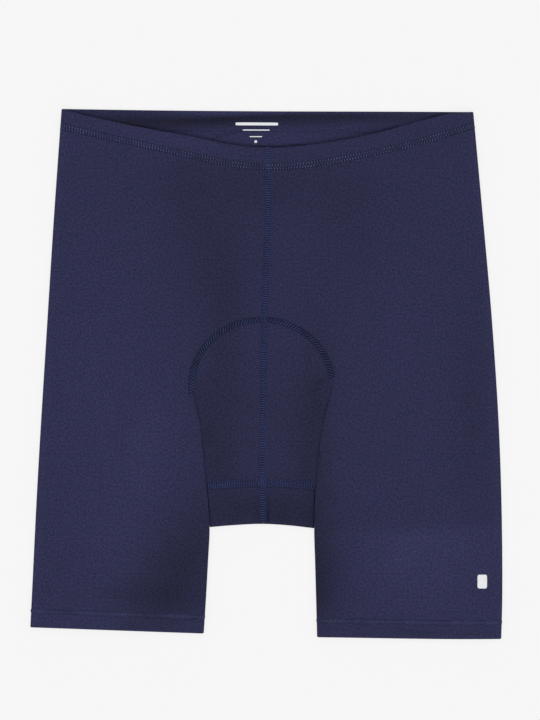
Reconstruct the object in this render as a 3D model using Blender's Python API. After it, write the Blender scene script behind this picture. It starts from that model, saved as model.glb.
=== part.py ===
"""Cycling shorts laid flat with the front up, the waist towards +Y and the back resting on Z = 0.

The garment is sewn from two leg panels and a waistband. Each leg panel is one piece of jersey with no
side seam: it runs from the centre front seam over the top of the leg, round the side fold and under to the
centre back seam, and the back turns up over the crotch edge to meet the front at the inseam. Beside the
crotch the front of each leg stands over the lower centre in a soft fold.

Sizes are in millimetres until a mesh is made. Right and left are the wearer's, so the right leg is at -X.
A sheet is made from the outer face of the cloth, and its wall is added on the inside.
"""

import bmesh
import bpy
import numpy as np
from mathutils import Vector

MM = 0.001

# Cloth
WALL = 1.1  # one layer of jersey
HEM_WALL = 2.0  # the hem, turned up once
BAND_WALL = 2.4  # the casing, two layers on a flat elastic
SEAM_GAP = 0.3  # between two pieces at a seam
BAND_GAP = 0.45  # the same at the band, before the side bends and straight facets narrow it to 0.3

# Depths of the sewn edges
BAND_DEPTH = 18.0
HEM_DEPTH = 15.0
HEM_STEP = 1.0  # the stretch in which the wall thickens to the hem's

# Crotch
CROTCH_TOP = 2.7  # height of the lower centre, beside the leg folds
FLAP_SIDE_GAP = 0.3  # between the turned-up back and the leg fold
NOTCH = 1.3  # how far below the crotch edge the leg closes into a tube
INSEAM_TAIL = 0.6  # flat stretch of the front under the leg's inner fold

# Waistband
BAND_RISE = 5.2  # height of the band's outer face at the side folds
BAND_CENTRE_RISE = 4.1  # and at the centre front, where it lies on one layer
BAND_SETTLES = (95.0, 40.0)  # distances from the middle between which it comes down
BAND_EDGE_ROUND = 1.0  # depth over which the waist edge is rounded

FLAT_ROLL = 6.0  # width over which the leg fold's columns lie flat above the fold

# Columns and rows of the mesh
BAND_FRONT_STATIONS = 25
BAND_BACK_STATIONS = 11
BAND_SIDE_STEPS = 6
ROLL_STEPS = 4
TOP_STEPS = 8
SIDE_STEPS = 4
BACK_STEPS = 5
CENTRE_STEPS = 4
FLAP_COLUMNS = 3
BEND_STEPS = 4
FLAP_ROWS = 2
ROWS_TO_INSEAM = 12
ROWS_TO_CROTCH = 3
ROWS_OF_LEG = 5
ROWS_OF_HEM = 2

SHARP_EDGE = np.radians(50)  # a mesh edge with a sharper bend than this is drawn sharp

JERSEY = ("navy_jersey", (0.030, 0.031, 0.080, 1.0), 0.72)
BAND_CLOTH = ("navy_casing", (0.030, 0.032, 0.084, 1.0), 0.70)


def table(columns, *rows):
    """Returns {column name: its values}, with one row for each station."""
    return dict(zip(columns.split(), np.array(rows, float).T))


# The outer fold of each leg, from the waist to the hem
SIDE_FOLD = {
    "right": table(
        "y x", (238.3, -184.0), (156, -190.0), (39, -197.5), (-96, -205.7), (-227.6, -212.2)
    ),
    "left": table(
        "y x",
        (235.5, 185.9),
        (156, 193.3),
        (39, 203.5),
        (-60, 209.6),
        (-132, 211.7),
        (-204, 212.0),
        (-238.3, 211.1),
    ),
}

# The inner line of each leg: a plain line on the front, then the fold beside the crotch, then the inner leg
LEG_FOLD = {
    "right": table(
        "y x",
        (225, -76),
        (100, -71),
        (0, -67.2),
        (-19, -65.6),
        (-41, -59.8),
        (-68, -56.8),
        (-93, -54.4),
        (-138, -51.0),
        (-168, -52.4),
        (-204, -54.4),
        (-233.2, -56.3),
    ),
    "left": table(
        "y x",
        (225, 72),
        (100, 67),
        (0, 60.4),
        (-18, 58.1),
        (-38, 51.8),
        (-56, 48.9),
        (-74, 46.2),
        (-101, 44.2),
        (-138.7, 42.9),
        (-168, 43.7),
        (-204, 44.7),
        (-236.5, 45.5),
    ),
}

HEM = {
    "right": table("x y", (-212.1, -227.6), (-56.3, -233.2)),
    "left": table("x y", (45.5, -236.5), (195, -238.2), (211.1, -238.1)),
}

# Lines across the garment
WAIST_FRONT = table(
    "x y",
    (-184, 238.1),
    (-172, 234.6),
    (-129, 224.9),
    (-99, 219.0),
    (-62, 212.3),
    (-32, 206.2),
    (0, 203.3),
    (36, 205.5),
    (66, 209.7),
    (96, 215.7),
    (126, 223.8),
    (148, 229.7),
    (163, 233.4),
    (185.9, 235.4),
)
BAND_SEAM_FRONT = table(
    "x y",
    (-184.8, 222.0),
    (-144, 213.0),
    (-114, 206.6),
    (-84, 200.0),
    (-55, 193.4),
    (-25, 187.8),
    (-2, 186.1),
    (36, 187.8),
    (66, 192.6),
    (96, 198.6),
    (126, 205.2),
    (155, 213.6),
    (186.8, 222.8),
)
WAIST_BACK = table("x y", (-184, 238.3), (-100, 237.0), (0, 236.2), (100, 235.9), (185.9, 235.5))
BAND_SEAM_BACK = table(
    "x y", (-184.8, 222.0), (-110, 219.2), (0, 218.2), (110, 217.9), (186.8, 222.8)
)
INSEAM = table("x y", (-54.5, -100.3), (-4, -97.4), (44.2, -100.3))
CROTCH = table("x y", (-51, -137.8), (-32, -136.2), (-3, -134.9), (22, -136.4), (43, -138.8))

# Seams down the middle
CENTRE_FRONT = table(
    "y x", (205, 1.8), (120, 0.5), (48, -1.7), (-24, -3.1), (-78, -3.6), (-101, -3.7), (-135, -2.6)
)
CENTRE_BACK = table("y x", (236, -6.0), (50, -4.4), (-135, -2.6))

# Heights of the front's outer face: at the leg's inner line, at the foot of its fold, along the centre seam
# and at the side fold. puff lifts the middle of the leg. open is 1 where the fold lies flat.
SECTIONS = table(
    "y    fold foot centre side puff open tuck",
    (230, 5.0, 5.0, 4.3, 5.0, 0.0, 1.0, 0.9),
    (205, 4.4, 4.3, 4.1, 4.6, 0.2, 1.0, 0.9),
    (165, 3.7, 3.6, 3.6, 3.5, 0.7, 1.0, 0.9),
    (60, 3.6, 3.5, 3.5, 3.2, 1.1, 1.0, 0.9),
    (10, 3.9, 3.4, 3.7, 3.2, 1.2, 0.9, 0.9),
    (-12, 4.6, 3.0, 3.7, 3.2, 1.2, 0.4, 0.9),
    (-35, 5.3, CROTCH_TOP, 3.6, 3.2, 1.1, 0.0, 0.9),
    (-120, 5.5, CROTCH_TOP, 3.4, 3.2, 1.0, 0.0, 0.9),
    (-137, 5.0, CROTCH_TOP, 3.4, 3.2, 1.1, 0.0, 1.0),
    (-141, 4.7, 0.0, 3.4, 3.2, 1.1, 0.0, 1.8),
    (-160, 3.8, 0.0, 3.4, 3.2, 1.3, 0.0, 1.9),
    (-190, 3.7, 0.0, 3.4, 3.5, 1.1, 0.0, 1.9),
    (-208, 4.5, 0.0, 3.4, 4.5, 0.5, 0.0, 2.25),
    (-240, 4.5, 0.0, 3.4, 4.5, 0.2, 0.0, 2.25),
)


def smooth(stations, column, at, along=None):
    """Returns a table's column at the given places, on a smooth curve through its rows.

    Past its ends the column keeps the value of the end row.
    """
    along = along or next(iter(stations))
    order = np.argsort(stations[along])
    place, value = stations[along][order], stations[column][order]
    slope = np.gradient(value, place)
    at = np.clip(at, place[0], place[-1])
    i = np.clip(np.searchsorted(place, at) - 1, 0, len(place) - 2)
    span = place[i + 1] - place[i]
    s = (at - place[i]) / span
    start = (1 + 2 * s) * (1 - s) ** 2 * value[i] + s * (1 - s) ** 2 * span * slope[i]
    end = s**2 * (3 - 2 * s) * value[i + 1] + s**2 * (s - 1) * span * slope[i + 1]
    return start + end


def straight(column, y):
    """Returns a column of the section table at the given heights, in straight runs between its rows."""
    return np.interp(y, SECTIONS["y"][::-1], SECTIONS[column][::-1])


def mix(a, b, share):
    """Returns the value that lies the given share of the way from a to b."""
    return a + (b - a) * share


def row_table():
    """Returns each mesh row as (index of the line above it, share of the way to the next line)."""
    counts = (ROWS_TO_INSEAM, ROWS_TO_CROTCH, 1, ROWS_OF_LEG, 1, ROWS_OF_HEM)
    rows = [(line, step / count) for line, count in enumerate(counts) for step in range(count)]
    return rows + [(len(counts) - 1, 1.0)]


ROWS = row_table()
INSEAM_ROW = ROWS_TO_INSEAM
CROTCH_ROW = INSEAM_ROW + ROWS_TO_CROTCH
TUBE_ROW = CROTCH_ROW + 1
HEM_ROW = TUBE_ROW + ROWS_OF_LEG + 1


def row_lines(side, x, seam):
    """Returns the heights in Y of the lines that the rows are spaced between, at the places x.

    They are the waistband seam, inseam, crotch bend, start of the tube, both sides of the hem's step, and hem.
    """
    crotch = smooth(CROTCH, "y", x)
    hem = smooth(HEM[side], "y", x)
    return np.array(
        [
            smooth(seam, "y", x) - BAND_GAP,
            smooth(INSEAM, "y", x),
            crotch + CROTCH_TOP / 2,
            crotch - NOTCH,
            hem + HEM_DEPTH + HEM_STEP / 2,
            hem + HEM_DEPTH - HEM_STEP / 2,
            hem,
        ]
    )


def row_y(lines, row):
    """Returns the heights in Y of a row, from its lines."""
    line, share = ROWS[row]
    return mix(lines[line], lines[line + 1], share)


def place_column(side, seam, x_of_y):
    """Returns x and y down one column, whose x follows from y, when y's lines follow from x."""
    x = np.full(len(ROWS), x_of_y(0.0))
    for _ in range(4):
        lines = row_lines(side, x, seam)
        y = np.array([row_y(lines[:, row], row) for row in range(len(ROWS))])
        x = x_of_y(y)
    return x, y


def fold_x(side, y):
    """Returns x of a leg's inner line."""
    return smooth(LEG_FOLD[side], "x", y)


def tube_z(column, y, rows):
    """Returns a column of the section table, with the fold's foot on the ground where the leg is a tube."""
    z = straight(column, y)
    if column == "foot":
        z = np.where(rows >= TUBE_ROW, 0.0, np.maximum(z, CROTCH_TOP))
    return z


def leg_tube(side, out):
    """Returns the columns of the leg from the foot of its inner fold over the top, round the side and under.

    out is the way from the centre to the side fold, -1 or 1. Each column is (rows, 3).
    """
    rows = np.arange(len(ROWS))
    columns = []

    def add(seam, x_of_y, z_of_y):
        x, y = place_column(side, seam, x_of_y)
        columns.append(np.stack([x, y, z_of_y(y)], axis=1))

    for step in range(ROLL_STEPS + 1):
        turn = np.pi * (step / ROLL_STEPS - 0.5)
        flat_share = 1 - step / ROLL_STEPS

        def roll_x(y, turn=turn, flat_share=flat_share):
            tuck = straight("tuck", y)
            folded = fold_x(side, y) + out * tuck * (1 - np.cos(turn))
            flat = fold_x(side, y) + out * (tuck - FLAT_ROLL * flat_share)
            return mix(folded, flat, straight("open", y))

        def roll_z(y, turn=turn, flat_share=flat_share):
            top, foot = tube_z("fold", y, rows), tube_z("foot", y, rows)
            folded = mix(foot, top, (1 + np.sin(turn)) / 2)
            return mix(folded, mix(top, foot, flat_share), straight("open", y))

        add(BAND_SEAM_FRONT, roll_x, roll_z)

    def side_edge(y):
        return smooth(SIDE_FOLD[side], "x", y) - out * straight("side", y) / 2

    for step in range(1, TOP_STEPS + 1):
        share = step / TOP_STEPS

        def top_x(y, share=share):
            return mix(fold_x(side, y) + out * straight("tuck", y), side_edge(y), share)

        def top_z(y, share=share):
            level = mix(straight("fold", y), straight("side", y), share)
            return level + straight("puff", y) * np.sin(np.pi * share)

        add(BAND_SEAM_FRONT, top_x, top_z)

    for step in range(1, SIDE_STEPS + 1):
        turn = np.pi * (0.5 - step / SIDE_STEPS)

        def side_x(y, turn=turn):
            return side_edge(y) + out * straight("side", y) / 2 * np.cos(turn)

        def side_z(y, turn=turn):
            return straight("side", y) / 2 * (1 + np.sin(turn))

        add(BAND_SEAM_FRONT if turn >= 0 else BAND_SEAM_BACK, side_x, side_z)

    for step in range(1, BACK_STEPS + 1):
        share = step / BACK_STEPS

        def back_x(y, share=share):
            inner = fold_x(side, y) + out * (straight("tuck", y) + INSEAM_TAIL + SEAM_GAP)
            return mix(side_edge(y), inner, share)

        add(BAND_SEAM_BACK, back_x, np.zeros_like)
    return columns


def front_centre(side, out, foot_column):
    """Returns the columns from the centre front seam to the foot of the leg fold, down to the inseam."""
    columns = []
    for step in range(CENTRE_STEPS):
        share = step / CENTRE_STEPS

        def centre_x(y, share=share):
            seam = smooth(CENTRE_FRONT, "x", y) + out * SEAM_GAP / 2
            foot = np.interp(y, foot_column[::-1, 1], foot_column[::-1, 0])
            return mix(seam, foot, share)

        x, y = place_column(side, BAND_SEAM_FRONT, centre_x)
        z = mix(straight("centre", y), straight("foot", y), share**2)
        columns.append(np.stack([x, y, z], axis=1)[: INSEAM_ROW + 1])
    return columns + [foot_column[: INSEAM_ROW + 1]]


def back_centre(side, out, inner_column):
    """Returns the columns from the leg's inner line to the centre back seam, down to the crotch bend."""
    columns = [inner_column[: CROTCH_ROW + 1]]
    for step in range(FLAP_COLUMNS + 1):
        share = step / FLAP_COLUMNS

        def centre_x(y, share=share):
            flap_side = fold_x(side, y) - out * FLAP_SIDE_GAP
            seam = smooth(CENTRE_BACK, "x", y) + out * SEAM_GAP / 2
            return mix(flap_side, seam, share)

        x, y = place_column(side, BAND_SEAM_BACK, centre_x)
        columns.append(np.stack([x, y, np.zeros_like(y)], axis=1)[: CROTCH_ROW + 1])
    return columns


def crotch_flap(side, out, back_columns):
    """Returns the columns of the back where it turns up over the crotch edge to the inseam."""
    radius = CROTCH_TOP / 2
    columns = []
    for step, back in enumerate(back_columns[1:]):
        share = step / FLAP_COLUMNS
        start = back[-1]
        turn = np.linspace(0, np.pi, BEND_STEPS + 1)
        rise = np.linspace(0, 1, FLAP_ROWS + 1)[1:]
        top = smooth(INSEAM, "y", start[0]) - SEAM_GAP
        crown = mix(straight("centre", top), CROTCH_TOP, (1 - share) ** 2)
        y = np.concatenate([start[1] - radius * np.sin(turn), mix(start[1], top, rise)])
        z = np.concatenate([radius * (1 - np.cos(turn)), mix(CROTCH_TOP, crown, rise)])
        flap_side = fold_x(side, y) - out * FLAP_SIDE_GAP
        seam = smooth(CENTRE_FRONT, "x", y) + out * SEAM_GAP / 2
        x = mix(flap_side, seam, share)
        x[0] = start[0]
        columns.append(np.stack([x, y, z], axis=1))
    return columns


def inseam_tail(out, foot_column):
    """Returns the two columns of the narrow strip that lies flat under the leg's inner fold."""
    foot = foot_column[TUBE_ROW:]
    tail = foot + [out * INSEAM_TAIL, 0, 0]
    return [tail, foot]


class Cloth:
    """The outer face of one piece of cloth, sewn together from patches that share their edge points.

    out is -1 on the right leg and 1 on the left, and turns each patch's faces outwards.
    """

    def __init__(self, out):
        self.bm = bmesh.new()
        self.out = out
        self.verts = {}
        self.wall = {}
        self.crease = {}

    def vert(self, point, wall, crease=0.0):
        """Returns the vertex at a point. Its first patch sets its wall and how deep a crease it lies in."""
        key = tuple(np.round(point, 3))
        if key not in self.verts:
            vert = self.bm.verts.new(point * MM)
            self.verts[key] = vert
            self.wall[vert] = wall
            self.crease[vert] = crease
        return self.verts[key]

    def add(self, columns, walls):
        """Adds a patch from columns of points, with a wall for each row."""
        grid = [[self.vert(point, wall) for point, wall in zip(column, walls)] for column in columns]
        for near, far in zip(grid, grid[1:]):
            for row in range(len(near) - 1):
                corners = [near[row], near[row + 1], far[row + 1], far[row]]
                self.bm.faces.new(corners if self.out > 0 else corners[::-1])

    def inner_point(self, vert):
        """Returns the point inside the wall. In a crease the wall lies half below it, half beside it."""
        crease = self.crease[vert]
        up = Vector((-self.out * crease, 0, 1)).normalized() if crease > 0 else vert.normal
        return vert.co - up * self.wall[vert] * MM

    def close(self):
        """Closes the outer face into a wall, with an inner face and rims. Returns the mesh."""
        self.bm.normal_update()
        faces = list(self.bm.faces)
        rims = [edge.link_loops[0] for edge in self.bm.edges if edge.is_boundary]
        ends = [(loop.vert, loop.link_loop_next.vert) for loop in rims]
        inner = {vert: self.bm.verts.new(self.inner_point(vert)) for vert in list(self.bm.verts)}
        for face in faces:
            self.bm.faces.new([inner[vert] for vert in reversed(face.verts)])
        for start, end in ends:
            self.bm.faces.new([end, start, inner[start], inner[end]])
        return self.bm


def cloth_material(name, colour, roughness):
    """Returns a plain cloth material."""
    material = bpy.data.materials.new(name)
    material.use_nodes = True
    shader = material.node_tree.nodes["Principled BSDF"]
    shader.inputs["Base Color"].default_value = colour
    shader.inputs["Roughness"].default_value = roughness
    shader.inputs["Metallic"].default_value = 0.0
    material.diffuse_color = colour
    return material


def add_object(name, bm, material):
    """Makes the named object from a mesh in metres, shaded smooth."""
    mesh = bpy.data.meshes.new(name)
    bm.to_mesh(mesh)
    bm.free()
    mesh.materials.append(material)
    mesh.shade_smooth()
    mesh.set_sharp_from_angle(angle=SHARP_EDGE)
    obj = bpy.data.objects.new(name, mesh)
    bpy.context.scene.collection.objects.link(obj)
    return obj


def leg_panel(side, out, material):
    """Makes one leg panel as a single closed wall of cloth."""
    walls = [HEM_WALL if row >= HEM_ROW else WALL for row in range(len(ROWS))]
    tube = leg_tube(side, out)
    foot = tube[0]
    back = back_centre(side, out, tube[-1])
    flap = crotch_flap(side, out, back)
    cloth = Cloth(out)
    for point in foot[: INSEAM_ROW + 1]:
        cloth.vert(point, WALL, 1 - straight("open", point[1]))
    cloth.add(tube, walls)
    cloth.add(front_centre(side, out, foot), walls)
    cloth.add(back, walls)
    cloth.add(flap, [WALL] * len(flap[0]))
    cloth.add(inseam_tail(out, foot), walls[TUBE_ROW:])
    return add_object(f"{side}_leg_panel", cloth.close(), material)


def band_profile():
    """Returns the band's section as (depth below the waist edge, inset from the outer face)."""
    return table(
        "depth inset",
        (BAND_DEPTH, 0),
        (BAND_DEPTH / 2, 0),
        (BAND_EDGE_ROUND, 0),
        (0.3 * BAND_EDGE_ROUND, 0.15 * BAND_WALL),
        (0, 0.5 * BAND_WALL),
        (0.3 * BAND_EDGE_ROUND, 0.85 * BAND_WALL),
        (BAND_EDGE_ROUND, BAND_WALL),
        (BAND_DEPTH / 2, BAND_WALL),
        (BAND_DEPTH, BAND_WALL),
    )


def band_rise(x):
    """Returns the height of the front band's outer face, which settles where no back band lies under it."""
    outer, inner = BAND_SETTLES
    share = np.clip((np.abs(x) - inner) / (outer - inner), 0, 1)
    return mix(BAND_CENTRE_RISE, BAND_RISE, share**2 * (3 - 2 * share))


def band_point(edge, seam, x_of_y, z_of_inset, depth, inset):
    """Returns a point of the band at a depth below its edge line and an inset into its wall."""
    y = edge["y"][0]
    for _ in range(4):
        x = x_of_y(y)
        y = mix(smooth(edge, "y", x), smooth(seam, "y", x), depth / BAND_DEPTH)
    return x_of_y(y), y, z_of_inset(x_of_y(y), inset)


def band_ring():
    """Returns the band's sections all round: across the front, round a side, across the back and round."""
    radius = BAND_RISE / 2
    profile = band_profile()

    def station(edge, seam, share, turn=None):
        points = []
        for depth, inset in zip(profile["depth"], profile["inset"]):

            def x_of_y(y):
                low = smooth(SIDE_FOLD["right"], "x", y) + radius
                high = smooth(SIDE_FOLD["left"], "x", y) - radius
                if turn is None:
                    return mix(low, high, share)
                return (high if share else low) + (radius - inset) * np.cos(turn)

            def z_of_inset(x, inset):
                if turn is not None:
                    return radius + (radius - inset) * np.sin(turn)
                return band_rise(x) - inset if edge is WAIST_FRONT else inset

            points.append(band_point(edge, seam, x_of_y, z_of_inset, depth, inset))
        return points

    def side_station(share, turn):
        lines = (WAIST_FRONT, BAND_SEAM_FRONT) if np.sin(turn) >= 0 else (WAIST_BACK, BAND_SEAM_BACK)
        return station(*lines, share, turn)

    across = np.linspace(0, 1, BAND_FRONT_STATIONS)
    front = [station(WAIST_FRONT, BAND_SEAM_FRONT, share) for share in across]
    across = np.linspace(1, 0, BAND_BACK_STATIONS)
    back = [station(WAIST_BACK, BAND_SEAM_BACK, share) for share in across]
    down = np.linspace(np.pi / 2, -np.pi / 2, BAND_SIDE_STEPS + 1)[1:-1]
    left_side = [side_station(1, turn) for turn in down]
    right_side = [side_station(0, np.pi - turn) for turn in down[::-1]]
    return front + left_side + back + right_side


def waistband(material):
    """Makes the elastic waistband in its casing, one closed ring."""
    bm = bmesh.new()
    ring = [[bm.verts.new(np.array(p) * MM) for p in section] for section in band_ring()]
    for here, after in zip(ring, ring[1:] + ring[:1]):
        for i, vert in enumerate(here):
            j = (i + 1) % len(here)
            bm.faces.new([vert, after[i], after[j], here[j]])
    bmesh.ops.recalc_face_normals(bm, faces=bm.faces)
    return add_object("waistband", bm, material)


def clear_scene():
    """Removes what the scene holds."""
    for obj in list(bpy.data.objects):
        bpy.data.objects.remove(obj)


def main():
    """Builds the shorts."""
    clear_scene()
    jersey = cloth_material(*JERSEY)
    leg_panel("right", -1, jersey)
    leg_panel("left", 1, jersey)
    waistband(cloth_material(*BAND_CLOTH))


main()
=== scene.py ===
"""Looks of the cycling shorts: their jersey, its soft folds, all the sewing, and a plain studio.

The shorts lie flat with the front up, the waist towards +Y and the back on Z = 0. Right and left are the
wearer's, so the right leg is at -X. Sizes are in millimetres until a mesh is made.
"""

import logging
from collections.abc import Callable
from dataclasses import dataclass, field
from enum import Enum

import bpy
import numpy as np
from numpy.typing import NDArray
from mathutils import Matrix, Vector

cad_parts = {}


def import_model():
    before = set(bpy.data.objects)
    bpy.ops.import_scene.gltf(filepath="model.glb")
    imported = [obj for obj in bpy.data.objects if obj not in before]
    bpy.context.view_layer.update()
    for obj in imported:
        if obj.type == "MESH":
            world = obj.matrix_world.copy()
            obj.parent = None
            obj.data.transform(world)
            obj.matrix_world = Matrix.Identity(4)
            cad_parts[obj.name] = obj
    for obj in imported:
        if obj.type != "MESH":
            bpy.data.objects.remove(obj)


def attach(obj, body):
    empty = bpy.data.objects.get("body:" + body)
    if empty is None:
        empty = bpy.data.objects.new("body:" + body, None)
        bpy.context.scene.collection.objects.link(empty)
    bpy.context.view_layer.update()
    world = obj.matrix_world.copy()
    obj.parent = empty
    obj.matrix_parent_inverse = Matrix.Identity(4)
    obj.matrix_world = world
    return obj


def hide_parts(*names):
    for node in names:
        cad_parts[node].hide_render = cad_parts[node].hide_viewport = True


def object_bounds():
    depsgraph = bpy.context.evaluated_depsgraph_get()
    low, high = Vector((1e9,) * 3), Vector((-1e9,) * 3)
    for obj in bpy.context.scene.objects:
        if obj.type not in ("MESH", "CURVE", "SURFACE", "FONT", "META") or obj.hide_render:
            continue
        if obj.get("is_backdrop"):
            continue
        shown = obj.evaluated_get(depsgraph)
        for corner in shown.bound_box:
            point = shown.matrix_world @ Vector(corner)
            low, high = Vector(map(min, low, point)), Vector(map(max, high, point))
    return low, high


LOG = logging.getLogger("cycling_shorts")
Array = NDArray[np.float64]
Numbers = Array | float
Index = NDArray[np.int64]
Place = tuple[float, float]
Colour = tuple[float, float, float]
Bar = tuple[float, float, float, float]
Socket = bpy.types.NodeSocket
Material = bpy.types.Material
Object = bpy.types.Object
MM = 0.001
GROUND_GAP = 0.05  # threads under the shorts are pressed flat at this height
SETTLE = 1.2  # height over which the room under the cloth shrinks to about a third
HEM_ROWS = (13.2, 16.8)  # the two rows of hem stitches, above the hem
HEM_MIDDLE = 15.0
COVER_HALF = 1.65  # from the casing's seam to each of its two rows of stitches


class Side(Enum):
    """A side of the wearer. Its value is the way from the middle to it, along X."""

    RIGHT = -1
    LEFT = 1


def mix(a: Numbers, b: Numbers, share: Numbers) -> Array:
    """Returns the value that lies the given share of the way from a to b."""
    return a + (b - a) * share


def ease(share: Numbers) -> Array:
    """Returns a share that starts and ends gently: s squared times (3 - 2 s)."""
    s = np.clip(share, 0.0, 1.0)
    return s * s * (3.0 - 2.0 * s)


def hump(distance: Numbers, width: Numbers) -> Array:
    """Returns a bell: 1 at distance 0, falling as exp(-(distance / width) squared)."""
    return np.exp(-((distance / width) ** 2))


def unit(vectors: Array) -> Array:
    """Returns vectors of length 1 in the same directions, along the last axis."""
    return vectors / np.maximum(np.linalg.norm(vectors, axis=-1, keepdims=True), 1e-12)


def lifted(z: Array, lift: float) -> Array:
    """Returns heights with the underside raised: z plus the lift times exp(-z / SETTLE)."""
    return z + lift * np.exp(-z / SETTLE)


def crowded(count: int, *peaks: tuple[float, float, float]) -> Array:
    """Returns count + 1 shares from 0 to 1 that stand closer together near the peaks.

    Args:
        count: The number of steps.
        peaks: For each, its place from 0 to 1, its width, and how much denser the steps are there.

    Returns:
        The places where the running sum of the density passes equal amounts.
    """
    place = np.linspace(0.0, 1.0, 2001)
    density = 1.0 + sum(extra * hump(place - at, width) for at, width, extra in peaks)
    total = np.concatenate([[0.0], np.cumsum((density[1:] + density[:-1]) / 2)])
    return np.interp(np.linspace(0.0, total[-1], count + 1), total, place)


@dataclass(frozen=True)
class Line:
    """A smooth line through a few measured points.

    Attributes:
        points: Each a station and the value there.
        between: Keeps the line between the values of neighbouring points.
    """

    points: tuple[Place, ...]
    between: bool = False

    def at(self, place: Numbers) -> Array:
        """Returns the line's values at the given stations.

        Between two points it is a cubic with the slopes at both ends: the mean slope there, or, for a line
        kept between its values, the harmonic mean of the two slopes. Past the ends it is level.

        Args:
            place: The stations.
        """
        station, value = np.array(sorted(self.points)).T
        slope = np.gradient(value, station)
        if self.between:
            steps = np.diff(value) / np.diff(station)
            before, after = steps[:-1], steps[1:]
            total = np.where(before * after > 0, before + after, 1.0)
            slope[1:-1] = np.where(before * after > 0, 2 * before * after / total, 0.0)
            slope[[0, -1]] = 0.0
        place = np.clip(place, station[0], station[-1])
        i = np.clip(np.searchsorted(station, place) - 1, 0, len(station) - 2)
        span = station[i + 1] - station[i]
        s = (place - station[i]) / span
        start = (1 + 2 * s) * (1 - s) ** 2 * value[i] + s * (1 - s) ** 2 * span * slope[i]
        end = s**2 * (3 - 2 * s) * value[i + 1] + s**2 * (s - 1) * span * slope[i + 1]
        return start + end


@dataclass(frozen=True)
class LegLines:
    """Where one leg's folds and hem lie.

    Attributes:
        side_fold: X of the outer fold against Y.
        inner_fold: X of the inner line against Y: level cloth, then the fold by the crotch, then the leg.
        hem: Y of the hem against X.
    """

    side_fold: Line
    inner_fold: Line
    hem: Line


LEG_LINES = {
    Side.RIGHT: LegLines(
        side_fold=Line(((238.3, -184.0), (156, -190.0), (39, -197.5), (-96, -205.7), (-227.6, -212.2))),
        inner_fold=Line(
            (
                (225, -76), (100, -71), (0, -67.2), (-19, -65.6), (-41, -59.8), (-68, -56.8), (-93, -54.4),
                (-138, -51.0), (-168, -52.4), (-204, -54.4), (-233.2, -56.3),
            )
        ),
        hem=Line(((-212.1, -227.6), (-56.3, -233.2))),
    ),
    Side.LEFT: LegLines(
        side_fold=Line(
            (
                (235.5, 185.9), (156, 193.3), (39, 203.5), (-60, 209.6), (-132, 211.7), (-204, 212.0),
                (-238.3, 211.1),
            )
        ),
        inner_fold=Line(
            (
                (225, 72), (100, 67), (0, 60.4), (-18, 58.1), (-38, 51.8), (-56, 48.9), (-74, 46.2),
                (-101, 44.2), (-138.7, 42.9), (-168, 43.7), (-204, 44.7), (-236.5, 45.5),
            )
        ),
        hem=Line(((45.5, -236.5), (195, -238.2), (211.1, -238.1))),
    ),
}

WAIST_FRONT = Line(
    (
        (-184, 238.1), (-172, 234.6), (-129, 224.9), (-99, 219.0), (-62, 212.3), (-32, 206.2), (0, 203.3),
        (36, 205.5), (66, 209.7), (96, 215.7), (126, 223.8), (148, 229.7), (163, 233.4), (185.9, 235.4),
    )
)
WAIST_BACK = Line(((-184, 238.3), (-100, 237.0), (0, 236.2), (100, 235.9), (185.9, 235.5)))
BAND_SEAM_FRONT = Line(
    (
        (-184.8, 222.0), (-144, 213.0), (-114, 206.6), (-84, 200.0), (-55, 193.4), (-25, 187.8),
        (-2, 186.1), (36, 187.8), (66, 192.6), (96, 198.6), (126, 205.2), (155, 213.6), (186.8, 222.8),
    )
)
BAND_SEAM_BACK = Line(((-184.8, 222.0), (-110, 219.2), (0, 218.2), (110, 217.9), (186.8, 222.8)))
INSEAM = Line(((-54.5, -100.3), (-4, -97.4), (44.2, -100.3)))
CROTCH = Line(((-51, -137.8), (-32, -136.2), (-3, -134.9), (22, -136.4), (43, -138.8)))
CENTRE_FRONT = Line(
    ((205, 1.8), (120, 0.5), (48, -1.7), (-24, -3.1), (-78, -3.6), (-101, -3.7), (-135, -2.6))
)
CENTRE_BACK = Line(((236, -6.0), (50, -4.4), (-135, -2.6)))

CROTCH_TOP = 2.7  # height of the lower centre, beside the leg folds
SECTION_NAMES = ("fold", "foot", "centre", "side", "puff", "open", "tuck")
SECTION_ROWS = (
    (230, 5.0, 5.0, 4.3, 5.0, 0.0, 1.0, 1.2),
    (205, 4.4, 4.3, 4.1, 4.6, 0.2, 1.0, 1.2),
    (165, 3.7, 3.6, 3.6, 3.5, 0.7, 1.0, 1.2),
    (60, 3.6, 3.5, 3.5, 3.2, 1.1, 1.0, 1.2),
    (10, 3.9, 3.4, 3.7, 3.2, 1.2, 0.9, 1.2),
    (-12, 4.6, 3.0, 3.7, 3.2, 1.2, 0.4, 1.2),
    (-35, 5.3, CROTCH_TOP, 3.6, 3.2, 1.1, 0.0, 1.3),
    (-120, 5.5, CROTCH_TOP, 3.4, 3.2, 1.0, 0.0, 1.3),
    (-137, 5.0, CROTCH_TOP, 3.4, 3.2, 1.1, 0.0, 1.3),
    (-141, 4.7, 0.0, 3.4, 3.2, 1.1, 0.0, 1.8),
    (-160, 3.8, 0.0, 3.4, 3.2, 1.3, 0.0, 1.9),
    (-190, 3.7, 0.0, 3.4, 3.5, 1.1, 0.0, 1.9),
    (-208, 4.3, 0.0, 3.4, 4.3, 0.5, 0.0, 2.1),
    (-240, 4.3, 0.0, 3.4, 4.3, 0.2, 0.0, 2.1),
)


def section_lines() -> dict[str, Line]:
    """Returns the lines of the front's heights against Y, named as SECTION_NAMES are."""
    return {
        name: Line(tuple((row[0], row[i + 1]) for row in SECTION_ROWS), between=True)
        for i, name in enumerate(SECTION_NAMES)
    }


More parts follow.
